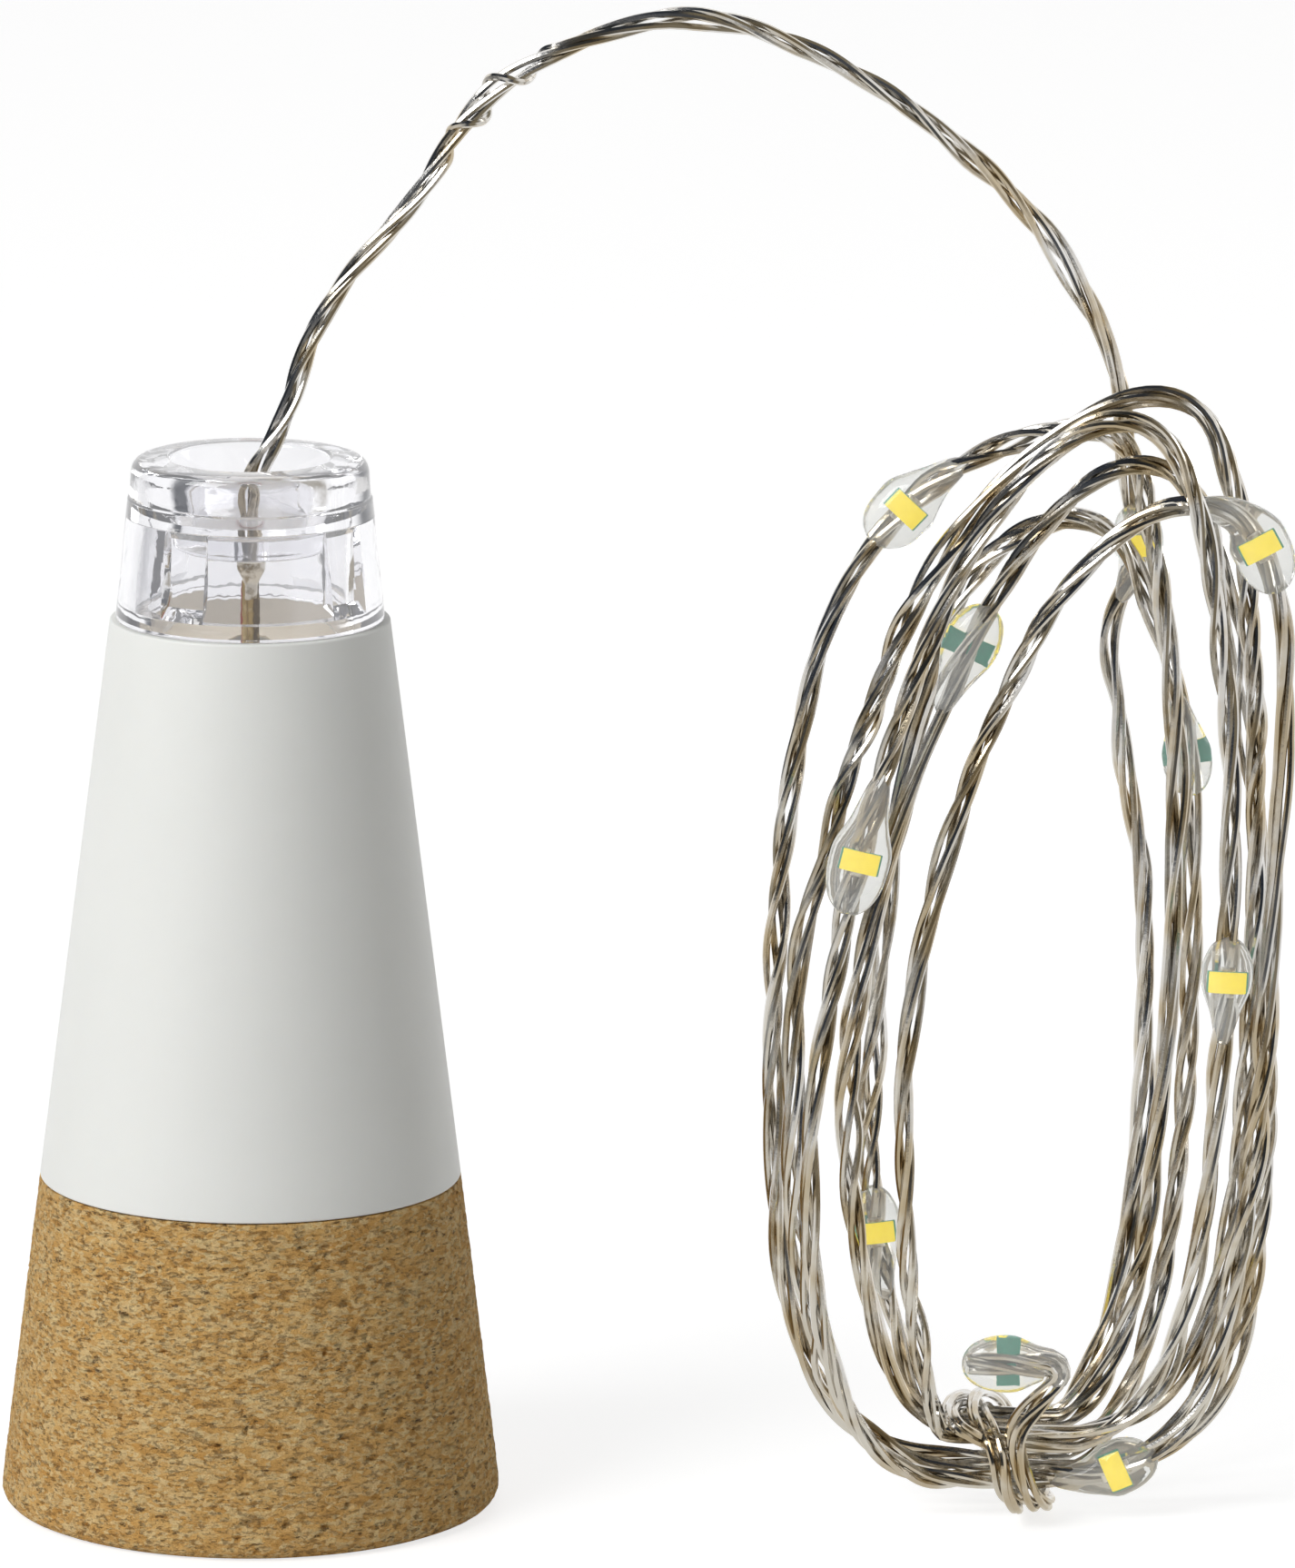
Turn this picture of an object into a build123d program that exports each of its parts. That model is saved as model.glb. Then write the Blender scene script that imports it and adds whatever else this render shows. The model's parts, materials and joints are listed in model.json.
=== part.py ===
from build123d import *
import math
import os

# A rechargeable bottle light, in millimetres. A cork cap, a white housing and a clear tip make one
# tapered stopper. A twisted wire string leaves the tip, arches over and ends in a tied hank of loops.
# The origin is the centre of the flat cork end, +Z runs up the stopper and +X points to the hank.

os.makedirs("parts", exist_ok=True)

# Driving sizes of the stopper's outer form
base_radius = 16.6
base_edge_radius = 0.9
seam_radius = 13.87
seam_height = 22.0
seam_gap = 0.15
shell_top_radius = 9.15
shell_height = 37.3
shell_wall = 1.5
tip_base_radius = 8.8
tip_band_radius = 8.11
tip_rim_radius = 7.86
tip_height = 10.65
tip_rim_height = 2.65
tip_band_height = 1.1

# Clearances, and one overrun for every cut
cut_overrun = 1.0
glue_gap = 0.05
running_clearance = 0.08
sliding_clearance = 0.2
end_play = 0.1

# Cork cap and its liner
cork_floor = 4.6
liner_radius = 12.2
liner_wall = 1.0
liner_floor = 1.2
liner_cup_radius = 8.7
liner_cavity_radius = 7.5
liner_mouth_depth = 8.4
liner_shelf_thickness = 1.6
liner_lead_in = 0.3

# Rotor, keyed into the liner's shelf by two dogs
boss_radius = 8.6
boss_length = 3.8
dog_width = 4.0
dog_depth = 1.4
rotor_gap = 0.3
rotor_pocket_depth = 0.25
wiper_edge = 0.5
wiper_width = 1.2
wiper_thickness = 0.2
wiper_angle = 142.5
wiper_pocket_angle = 150.0
wiper_dome_radius = 0.45
wiper_dome_height = 0.15
retainer_radius = 9.6
retainer_thickness = 1.0
retainer_screw_offset = 5.6
retainer_screw_radius = 0.7
retainer_head_radius = 1.3
retainer_head_height = 0.8
retainer_screw_length = 4.0
screw_thread_gap = 0.05

# Switch board under the carrier
switch_board_thickness = 0.7
switch_pad_thickness = 0.1
switch_pad_angle = 24.0
switch_pad_angles = (-62.5, 0.0, 62.5)

# Carrier that closes the housing
carrier_thickness = 1.6
post_height = 3.0
post_radius = 1.6
post_circle_radius = 9.0
ledge_radius = 11.4
ledge_height = 0.8

# Plug
plug_width = 12.0
plug_depth = 4.5
plug_sheet = 0.3
plug_tip_gap = 0.8
plug_window_width = 2.1
plug_window_height = 1.8
plug_window_spread = 2.9
plug_window_drop = 5.2
tongue_thickness = 1.85
tongue_inset = 0.6
insulator_root = 9.6
contact_width = 1.0
contact_thickness = 0.15
contact_inset = 0.7
contact_stagger = 1.0
contact_spread_shares = (-0.29, -0.085, 0.085, 0.29)

# Main board
board_radius = 10.7
board_thickness = 1.0
board_screw_radius = 0.8
board_head_radius = 1.3
board_head_height = 0.9

# The board's components as shares of its radius: size x, size y, height, place x, place y
upper_component_shares = [
    (0.458, 0.364, 0.121, 0.00, 0.056), (0.150, 0.075, 0.056, -0.318, -0.243),
    (0.150, 0.075, 0.056, 0.299, -0.262), (0.112, 0.187, 0.084, 0.00, -0.318),
]
lower_component_shares = [
    (0.271, 0.150, 0.103, -0.467, 0.467), (0.187, 0.112, 0.084, 0.243, 0.617),
    (0.150, 0.075, 0.047, 0.542, 0.393), (0.280, 0.150, 0.093, 0.00, -0.598),
    (0.150, 0.075, 0.047, -0.505, -0.430),
]

# Cell and its cradle
cell_radius = 7.0
cell_edge_radius = 0.5
cell_cap_radius = 2.6
cell_cap_height = 0.5
tab_thickness = 0.15
tab_width = 3.0
cradle_height = 1.6
cradle_ledge_radius = 5.2
cradle_ring_radius = 7.2
finger_gap = 0.15
finger_thickness = 0.8
finger_angle = 40.0
finger_hook_reach = 0.55
finger_hook_height = 0.7
battery_lead_radius = 0.4
battery_lead_circle = 7.62
battery_lead_angle = 60.0

# Top web of the shell, the wires that rise through it and their joint
web_drop = 3.3
web_thickness = 1.6
web_recess_radius = 7.4
lead_hole_radius = 1.6
pad_radius = 6.1
pad_thickness = 1.0
wire_radius = 0.22
wire_pitch = 0.5
wire_circle = 7.5
wire_angle = -10.0
wire_bend_radius = 0.9
wire_slot_width = 2.4
joint_drop = 2.9
joint_length = 1.7
joint_low_radius = 0.78
joint_high_radius = 1.05
potting_radius = 1.35
potting_height = 0.6

# Clear tip
skirt_wall = 1.3
skirt_foot_height = 0.9
skirt_spigot_wall = 0.75
post_inner_radius = 6.4
post_width = 3.0
post_first_angle = 57.0
cup_mouth_radius = 5.2
cup_floor_radius = 4.1
cup_wall = 0.9
cup_floor_thickness = 1.3
rim_edge_radius = 1.1
mouth_edge_radius = 0.35
tip_step = 0.12

# String
string_radius = 0.65
string_hole_gap = 0.15
string_run_share = 0.45
least_gap_wanted = 0.4

# Route of the free stretch, from the joint in the tip to the hank, with heights above that joint
arch_route = [
    (0.0, 0.0, 0.0),
    (-0.2, -0.0, 4.1),
    (2.1, 0.1, 8.1),
    (3.5, 0.2, 13.3),
    (6.9, 0.4, 18.8),
    (11.5, 0.8, 23.8),
    (15.3, 1.1, 30.2),
    (21.6, 1.5, 33.5),
    (29.2, 2.0, 35.3),
    (37.7, 2.6, 32.2),
    (45.8, 3.1, 26.7),
    (52.6, 3.7, 19.8),
    (57.0, 4.0, 11.6),
    (57.3, 4.0, 4.5),
]

# Hank: the box of its loops' centre lines, its waist and the layers that the loops lie in
hank_left = 33.9
hank_right = 67.3
hank_low = 3.95
hank_high = 74.8
hank_depth_centre = -2.0
layer_pitch = 2.0
waist_x = 49.4
waist_pitch = 1.2
waist_row_rise = 1.35
waist_run = 7.0

# Each turn, from the back to the front, as shares of the hank's width and height:
# left edge, its height, crest place, crest height, right edge, its height
turn_shares = [
    (0.19, 0.42, 0.58, 0.880, 0.840, 0.54),
    (0.00, 0.42, 0.57, 0.945, 0.785, 0.52),
    (0.22, 0.40, 0.72, 0.933, 0.965, 0.62),
    (0.05, 0.44, 0.72, 1.000, 0.930, 0.54),
    (0.285, 0.37, 0.79, 0.908, 1.000, 0.66),
    (0.085, 0.43, 0.66, 0.984, 0.900, 0.56),
]
entry_right_share = 0.745
entry_height_share = 0.60

# How each quarter turn leans: its first arc's tangent over its last arc's
leans_to_crest = (2.6, 2.0, 4.0, 2.2, 5.0, 2.6)
leans_from_crest = (0.25, 0.22, 0.25, 0.30, 1.00, 0.22)
lean_from_waist = 0.35
lean_to_waist = 3.0
lean_of_entry = 8.0

# Tie: the string's own end, wound round the waist
tie_turns = 2
tie_pitch = 2.2
tie_slant = 1.5
tie_corner_room = 0.7
tie_exit_rise = 7.5
tie_exit_reach = 1.0
tie_end_run = 3.8

# Droplets with their chips. Each place is a share of the hank's own length, and the tenth is on the
# tie's end. A side of 1 shows its chip to the viewer, and -1 shows the substrate's back.
droplet_length = 7.5
droplet_half_width = 1.7
droplet_half_depth = 1.28
chip_width = 1.9
chip_height = 1.2
chip_thickness = 0.15
substrate_thickness = 0.12
droplet_shares = (0.0058, 0.0844, 0.1566, 0.2820, 0.4240, 0.7654, 0.8265, 0.8847, 0.9574)
droplet_sides = (1, 1, -1, 1, -1, 1, 1, 1, 1, -1)

# A droplet's sections as shares: place along its length, half width and half depth
droplet_section_shares = [
    (-0.40, 0.50, 0.66), (-0.20, 0.93, 0.95), (0.00, 1.00, 1.00), (0.25, 0.78, 0.85), (0.60, 0.50, 0.66),
]

# Heights that follow from the sizes above
shell_top_height = seam_height + shell_height
tip_top_height = shell_top_height + tip_height
tip_band_low = tip_top_height - tip_rim_height - tip_band_height
cork_top = seam_height - seam_gap
liner_shelf_low = seam_height - liner_mouth_depth
liner_shelf_high = liner_shelf_low + liner_shelf_thickness
plug_tip_height = cork_floor + liner_floor + plug_tip_gap
liner_bore_radius = liner_radius - liner_wall
boss_end = seam_height - boss_length
rotor_high = seam_height - switch_board_thickness - rotor_gap
rotor_low = liner_shelf_high + rotor_gap
rotor_radius = liner_bore_radius - sliding_clearance
wiper_outer_radius = rotor_radius - wiper_edge
wiper_inner_radius = wiper_outer_radius - wiper_width
dog_inner_radius = retainer_radius + sliding_clearance
carrier_high = seam_height + carrier_thickness
board_low = carrier_high + post_height
board_high = board_low + board_thickness
web_low = shell_top_height - web_drop
web_high = web_low + web_thickness
tab_top_low = web_low - pad_thickness - tab_thickness
cell_low = board_high + cradle_height + tab_thickness
cell_high = tab_top_low - cell_cap_height
joint_high = tip_band_low - joint_drop
joint_low = joint_high - joint_length
string_start = joint_high + potting_height
cup_floor_high = string_start + cup_floor_thickness
from_bottom = (Align.CENTER, Align.CENTER, Align.MIN)


def cork_radius(height):
    return base_radius + (seam_radius - base_radius) * height / seam_height


def shell_radius(height):
    share = (height - seam_height) / (shell_top_height - seam_height)
    return seam_radius + (shell_top_radius - seam_radius) * share


def turned(outline):
    """A solid of revolution from corners given as (radius, height)."""
    corners = [(radius, 0, height) for radius, height in outline]
    return revolve(make_face(Polyline(*corners, close=True)), Axis.Z)


def disc(radius, low, high):
    return Pos(0, 0, low) * Cylinder(radius, high - low, align=from_bottom)


def ring(inner, outer, low, high):
    return turned([(inner, low), (outer, low), (outer, high), (inner, high)])


def block(size_x, size_y, low, high):
    return Pos(0, 0, low) * Box(size_x, size_y, high - low, align=from_bottom)


def ring_sector(inner, outer, low, high, angle):
    """A stretch of a ring, centred on +X."""
    corners = [(inner, 0, low), (outer, 0, low), (outer, 0, high), (inner, 0, high)]
    face = make_face(Polyline(*corners, close=True))
    return Rot(0, 0, -angle / 2) * revolve(face, Axis.Z, angle)


def around(shape, count, first_angle=0.0):
    return [Rot(0, 0, first_angle + index * 360 / count) * shape for index in range(count)]


def edges_at(shape, height, radius=None):
    """The shape's edges that lie at one height, and at one radius if it is given."""
    found = []
    for edge in shape.edges():
        bounds = edge.bounding_box()
        if abs(bounds.min.Z - height) < glue_gap and abs(bounds.max.Z - height) < glue_gap:
            if radius is None or abs(bounds.max.X - radius) < glue_gap:
                found.append(edge)
    return found


def save(name, shapes):
    """Write one node, of one solid or of a group of like solids."""
    group = shapes if isinstance(shapes, list) else [shapes]
    solids = [solid for shape in group for solid in shape.solids()]
    export_step(solids[0] if len(solids) == 1 else Compound(solids), f"parts/{name}.step")


def cork_sleeve():
    body = turned([(0, 0), (base_radius, 0), (cork_radius(cork_top), cork_top), (0, cork_top)])
    body = fillet(edges_at(body, 0, base_radius), base_edge_radius)
    cup = disc(liner_cup_radius + glue_gap, cork_floor, liner_shelf_low + cut_overrun)
    mouth = disc(liner_radius + glue_gap, liner_shelf_low, cork_top + cut_overrun)
    return body - cup - mouth


def dog(clearance, low, high):
    """One drive dog of the rotor, or the slot for it when it is grown by a clearance."""
    angle = math.degrees((dog_width + 2 * clearance) / rotor_radius)
    return ring_sector(dog_inner_radius - clearance, rotor_radius + clearance, low, high, angle)


def cap_liner():
    cavity_floor = cork_floor + liner_floor
    cup = turned([
        (0, cork_floor), (liner_cup_radius, cork_floor), (liner_cup_radius, liner_shelf_low),
        (liner_radius, liner_shelf_low), (liner_radius, seam_height),
        (liner_bore_radius + liner_lead_in, seam_height),
        (liner_bore_radius, seam_height - liner_lead_in), (liner_bore_radius, liner_shelf_high),
        (liner_cavity_radius, liner_shelf_high), (liner_cavity_radius, cavity_floor),
        (0, cavity_floor),
    ])
    slot = dog(sliding_clearance, liner_shelf_low - cut_overrun, liner_shelf_high + cut_overrun)
    for cut in around(slot, 2):
        cup -= cut
    return cup


def switch_rotor():
    bore = boss_radius + running_clearance
    flange_low = boss_end + end_play
    body = turned([
        (dog_inner_radius, rotor_low), (rotor_radius, rotor_low), (rotor_radius, rotor_high),
        (bore, rotor_high), (bore, flange_low), (dog_inner_radius, flange_low),
    ])
    for key in around(dog(0, rotor_low - rotor_gap - dog_depth, rotor_low), 2):
        body += key
    pocket = ring_sector(
        wiper_inner_radius, wiper_outer_radius,
        rotor_high - rotor_pocket_depth, rotor_high + cut_overrun, wiper_pocket_angle,
    )
    return body - pocket


def rotor_wiper():
    low = rotor_high - rotor_pocket_depth
    strip = ring_sector(
        wiper_inner_radius + glue_gap, wiper_outer_radius - glue_gap,
        low, low + wiper_thickness, wiper_angle,
    )
    middle = (wiper_inner_radius + wiper_outer_radius) / 2
    dome = Pos(middle, 0, low + wiper_thickness / 2) * Cone(
        wiper_dome_radius, wiper_dome_radius / 2,
        wiper_thickness / 2 + wiper_dome_height, align=from_bottom,
    )
    for angle in switch_pad_angles:
        strip += Rot(0, 0, angle) * dome
    return strip


def plug_slot(clearance, low, high):
    return block(plug_width + 2 * clearance, plug_depth + 2 * clearance, low, high)


def rotor_retainer():
    plate = disc(retainer_radius, boss_end - retainer_thickness, boss_end)
    plate -= plug_slot(running_clearance, boss_end - retainer_thickness - cut_overrun, boss_end + cut_overrun)
    hole = disc(retainer_screw_radius + screw_thread_gap, boss_end - retainer_thickness - cut_overrun,
                boss_end + cut_overrun)
    for side in (-1, 1):
        plate -= Pos(0, side * retainer_screw_offset, 0) * hole
    return plate


def retainer_screws():
    face = boss_end - retainer_thickness
    head = disc(retainer_head_radius, face - retainer_head_height, face)
    head = chamfer(edges_at(head, face - retainer_head_height), retainer_head_height / 3)
    driver = block(retainer_head_radius, retainer_head_height / 3,
                   face - retainer_head_height - cut_overrun, face - retainer_head_height / 2)
    screw = head + disc(retainer_screw_radius, face, face + retainer_screw_length)
    screw = screw - driver - Rot(0, 0, 90) * driver
    return [Pos(0, side * retainer_screw_offset, 0) * screw for side in (-1, 1)]


def switch_board():
    low = seam_height - switch_board_thickness
    return ring(boss_radius + glue_gap, rotor_radius, low, seam_height)


def switch_pads():
    high = seam_height - switch_board_thickness
    pad = ring_sector(wiper_inner_radius, wiper_outer_radius, high - switch_pad_thickness, high,
                      switch_pad_angle)
    return [Rot(0, 0, angle) * pad for angle in switch_pad_angles]


def carrier():
    body = disc(shell_radius(carrier_high) - shell_wall - glue_gap, seam_height, carrier_high)
    body += disc(boss_radius, boss_end, seam_height + glue_gap)
    post = Pos(post_circle_radius, 0, 0) * disc(post_radius, carrier_high - glue_gap, board_low)
    for pillar in around(post, 3, 90):
        body += pillar
    body -= plug_slot(running_clearance, boss_end - cut_overrun, carrier_high + cut_overrun)
    screw_end = boss_end - retainer_thickness + retainer_screw_length
    hole = disc(retainer_screw_radius + screw_thread_gap, boss_end - cut_overrun, screw_end + end_play)
    for side in (-1, 1):
        body -= Pos(0, side * retainer_screw_offset, 0) * hole
    pilot = Pos(post_circle_radius, 0, 0) * disc(
        board_screw_radius + screw_thread_gap, carrier_high, board_low + cut_overrun)
    for cut in around(pilot, 3, 90):
        body -= cut
    return body


def usb_plug_shell():
    outer = block(plug_width, plug_depth, plug_tip_height, board_low)
    inner = block(plug_width - 2 * plug_sheet, plug_depth - 2 * plug_sheet,
                  plug_tip_height - cut_overrun, board_low + cut_overrun)
    tube = fillet(outer.edges().filter_by(Axis.Z), plug_sheet)
    tube -= inner
    low = plug_tip_height + plug_window_drop
    window = block(plug_window_width, plug_depth + cut_overrun, low, low + plug_window_height)
    for side in (-1, 1):
        tube -= Pos(side * plug_window_spread, 0, 0) * window
    return tube


def tongue_face():
    """Where the contacts lie: the tongue's inner face."""
    return -plug_depth / 2 + plug_sheet + glue_gap + tongue_thickness


def usb_plug_tongue():
    width = plug_width - 2 * plug_sheet - 2 * glue_gap
    depth = plug_depth - 2 * plug_sheet - 2 * glue_gap
    root = block(width, depth, board_low - insulator_root, board_low)
    tongue = Pos(0, tongue_face() - tongue_thickness / 2, 0) * block(
        width, tongue_thickness, plug_tip_height + tongue_inset, board_low)
    body = root + tongue
    for strip in contact_strips(glue_gap):
        body -= strip
    return body


def contact_strips(clearance):
    """The plug's four contacts. The outer two are longer, as on every such plug."""
    strips = []
    for index, share in enumerate(contact_spread_shares):
        stagger = contact_stagger if index in (1, 2) else 0
        low = plug_tip_height + tongue_inset + contact_inset + stagger
        strip = block(contact_width + 2 * clearance, contact_thickness, low - clearance,
                      board_low - insulator_root)
        centre = tongue_face() - contact_thickness / 2
        strips.append(Pos(share * plug_width, centre, 0) * strip)
    return strips


def main_board():
    board = disc(board_radius, board_low, board_high)
    hole = Pos(post_circle_radius, 0, 0) * disc(
        board_screw_radius + running_clearance, board_low - cut_overrun, board_high + cut_overrun)
    for cut in around(hole, 3, 90):
        board -= cut
    return board


def board_components():
    chips = []
    for shares in upper_component_shares:
        size_x, size_y, height, x, y = [share * board_radius for share in shares]
        chips.append(Pos(x, y, 0) * block(size_x, size_y, board_high, board_high + height))
    for shares in lower_component_shares:
        size_x, size_y, height, x, y = [share * board_radius for share in shares]
        chips.append(Pos(x, y, 0) * block(size_x, size_y, board_low - height, board_low))
    return chips


def board_screws():
    high = board_high + cradle_height
    head = chamfer(edges_at(disc(board_head_radius, high, high + board_head_height),
                            high + board_head_height), board_head_height / 3)
    driver = block(board_head_radius, board_head_height / 3,
                   high + board_head_height / 2, high + board_head_height + cut_overrun)
    screw = head - driver - Rot(0, 0, 90) * driver
    screw += disc(board_screw_radius, carrier_high + end_play, high + glue_gap)
    return around(Pos(post_circle_radius, 0, 0) * screw, 3, 90)


def cell_cradle():
    high = board_high + cradle_height
    body = ring(cradle_ledge_radius, cradle_ring_radius, board_high, high)
    foot = Pos(post_circle_radius, 0, 0) * disc(post_radius, board_high, high)
    arm_length = post_circle_radius - cradle_ring_radius
    arm = Pos(cradle_ring_radius + arm_length / 2, 0, board_high) * Box(
        arm_length + glue_gap, post_radius * 2, cradle_height, align=from_bottom)
    hole = Pos(post_circle_radius, 0, 0) * disc(
        board_screw_radius + running_clearance, board_high - cut_overrun, high + cut_overrun)
    for support in around(foot + arm, 3, 90):
        body += support
    inner = cell_radius + finger_gap
    outer = inner + finger_thickness
    finger = ring_sector(inner, outer, board_high, cell_high + finger_hook_height, finger_angle)
    root = ring_sector(cradle_ledge_radius, outer, board_high, high, finger_angle)
    hook = ring_sector(inner - finger_hook_reach, outer, cell_high + glue_gap,
                       cell_high + finger_hook_height, finger_angle)
    for arm_up in around(finger + root + hook, 3, 30):
        body += arm_up
    for cut in around(hole, 3, 90):
        body -= cut
    return body


def battery_cell():
    can = disc(cell_radius, cell_low, cell_high)
    can = fillet(can.edges().filter_by(GeomType.CIRCLE), cell_edge_radius)
    return can + disc(cell_cap_radius, cell_high - glue_gap, cell_high + cell_cap_height)


def cell_tabs():
    reach = battery_lead_circle + battery_lead_radius
    strip = Pos(reach / 2, 0, 0) * block(reach + tab_width, tab_width / 2, 0, tab_thickness)
    strip = strip & disc(reach, -cut_overrun, cut_overrun)
    upper = Rot(0, 0, battery_lead_angle) * Pos(0, 0, tab_top_low) * strip
    low = cell_low - tab_thickness
    leg = Pos(reach - tab_thickness / 2, 0, board_high) * Box(
        tab_thickness, tab_width / 2, cradle_height + tab_thickness, align=from_bottom)
    lower = Rot(0, 0, 2 * battery_lead_angle) * (Pos(0, 0, low) * strip + leg)
    return [upper, lower]


def battery_lead():
    wire = Pos(battery_lead_circle, 0, 0) * disc(battery_lead_radius, board_high, tab_top_low)
    return Rot(0, 0, battery_lead_angle) * wire


def wire_channel(low, high):
    """The radial slot through which the three wires run to the stopper's middle."""
    slot = Pos(wire_circle / 2, 0, low) * Box(
        wire_circle + wire_slot_width, wire_slot_width, high - low, align=from_bottom)
    return Rot(0, 0, wire_angle) * slot


def cell_pad():
    low = tab_top_low + tab_thickness
    pad = disc(pad_radius, low, web_low)
    return pad - wire_channel(low - cut_overrun, web_low + cut_overrun)


def body_shell():
    wall_bottom = seam_radius - shell_wall
    web_bottom = shell_radius(web_low) - shell_wall
    body = turned([
        (wall_bottom, seam_height), (seam_radius, seam_height),
        (shell_top_radius, shell_top_height), (web_recess_radius, shell_top_height),
        (web_recess_radius, web_high), (lead_hole_radius, web_high), (lead_hole_radius, web_low),
        (web_bottom, web_low),
    ])
    ledge_low = carrier_high + glue_gap
    return body + ring(ledge_radius, shell_radius(carrier_high) - shell_wall / 2,
                       ledge_low, ledge_low + ledge_height)


def string_leads():
    """Three wires from the board, up beside the cell and through the web to their joint."""
    level = (tab_top_low + tab_thickness + web_low) / 2
    wires = []
    for index in (-1, 0, 1):
        path = FilletPolyline(
            (wire_circle, 0, board_high), (wire_circle, 0, level), (0, 0, level),
            (0, 0, joint_low), radius=wire_bend_radius)
        section = Plane(origin=(wire_circle, 0, board_high), z_dir=(0, 0, 1)) * Circle(wire_radius)
        wire = sweep(section, path=path)
        wires.append(Rot(0, 0, wire_angle) * Pos(0, index * wire_pitch, 0) * wire)
    return wires


def solder_joint():
    middle = (joint_low + joint_high) / 2
    return turned([
        (0, joint_low), (joint_low_radius, joint_low), (joint_low_radius, middle),
        (joint_high_radius, joint_high), (0, joint_high),
    ])


def lead_potting():
    blob = disc(potting_radius, joint_high, string_start)
    return fillet(edges_at(blob, joint_high), potting_height / 2)


def tip_skirt():
    foot_inner = web_recess_radius - glue_gap - skirt_spigot_wall
    inner_low = tip_base_radius - skirt_wall
    inner_high = tip_band_radius - skirt_wall
    foot_high = shell_top_height + skirt_foot_height
    body = turned([
        (foot_inner, web_high), (web_recess_radius - glue_gap, web_high),
        (web_recess_radius - glue_gap, shell_top_height), (tip_base_radius, shell_top_height),
        (tip_band_radius, tip_band_low), (inner_high, tip_band_low), (inner_low, foot_high),
        (foot_inner, foot_high),
    ])
    post = ring_sector(post_inner_radius, inner_low, foot_high - glue_gap, tip_band_low, 360 / 4)
    post &= Pos(inner_low, 0, foot_high - cut_overrun) * Box(
        inner_low, post_width, tip_band_low - foot_high + 2 * cut_overrun, align=from_bottom)
    for pillar in around(post, 4, post_first_angle):
        body += pillar
    return body


def tip_cup():
    band_high = tip_band_low + tip_band_height
    hole = string_radius + string_hole_gap
    body = turned([
        (hole, string_start), (cup_floor_radius + cup_wall, string_start),
        (post_inner_radius - cup_wall, tip_band_low), (tip_band_radius, tip_band_low),
        (tip_band_radius - tip_step, band_high), (tip_rim_radius, band_high + tip_step),
        (tip_rim_radius - tip_step, tip_top_height), (cup_mouth_radius, tip_top_height),
        (cup_floor_radius, cup_floor_high), (hole, cup_floor_high),
    ])
    body = fillet(edges_at(body, tip_top_height, tip_rim_radius - tip_step), rim_edge_radius)
    return fillet(edges_at(body, tip_top_height, cup_mouth_radius), mouth_edge_radius)


def tube_along(path, radius):
    """A round tube swept along a path of straight runs and tangent arcs."""
    section = Plane(origin=path @ 0, z_dir=path % 0) * Circle(radius)
    return sweep(section, path=path)


def corner_radii(route):
    """Each corner's arc takes a set share of the shorter of its two runs."""
    points = [Vector(*point) for point in route]
    radii = []
    for before, corner, after in zip(points, points[1:], points[2:]):
        half_turn = math.radians((corner - before).get_angle(after - corner)) / 2
        shorter = min((corner - before).length, (after - corner).length)
        radii.append(string_run_share * shorter / math.tan(half_turn))
    return radii


def arch_path():
    route = [(x, y, string_start + rise) for x, y, rise in arch_route]
    radii = corner_radii(route)
    print("arch radii", [round(radius, 1) for radius in radii])
    return FilletPolyline(*route, radius=radii)


def biarc(start, start_way, end, end_way, ratio=1.0):
    """Two arcs that meet tangent, between two points with their directions.
    The ratio is the first arc's tangent over the last one's."""
    span = end - start
    spread = ratio * (1 - start_way.dot(end_way))
    reach = ratio * span.dot(start_way) + span.dot(end_way)
    square = span.dot(span)
    if spread < 1e-9:
        last = square / (2 * reach)
    else:
        last = (math.sqrt(reach * reach + 2 * spread * square) - reach) / (2 * spread)
    first = ratio * last
    first_corner = start + start_way * first
    last_corner = end - end_way * last
    meet = first_corner + (last_corner - first_corner) * (first / (first + last))
    return [
        TangentArc(start, meet, tangent=start_way).edge(),
        TangentArc(meet, end, tangent=(last_corner - first_corner).normalized()).edge(),
    ]


def hank_x(share):
    return hank_left + (hank_right - hank_left) * share


def hank_z(share):
    return hank_low + (hank_high - hank_low) * share


def layer_y(layer):
    """Depth of a layer of loops. Layer 0 is the back one, where the string comes in."""
    return hank_depth_centre + layer_pitch * (len(turn_shares) / 2 - layer)


def waist_ends(crossing):
    """Ends of the straight run through the waist, on its first or second row."""
    depth = hank_depth_centre + waist_pitch * (len(turn_shares) / 2 - crossing)
    rise = waist_row_rise if crossing % 2 == 0 else -waist_row_rise
    level = hank_low + rise
    return (Vector(waist_x + waist_run / 2, depth, level), Vector(waist_x - waist_run / 2, depth, level))


up, down = Vector(0, 0, 1), Vector(0, 0, -1)
right, left = Vector(1, 0, 0), Vector(-1, 0, 0)
backward, forward = Vector(0, 1, 0), Vector(0, -1, 0)


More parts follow.
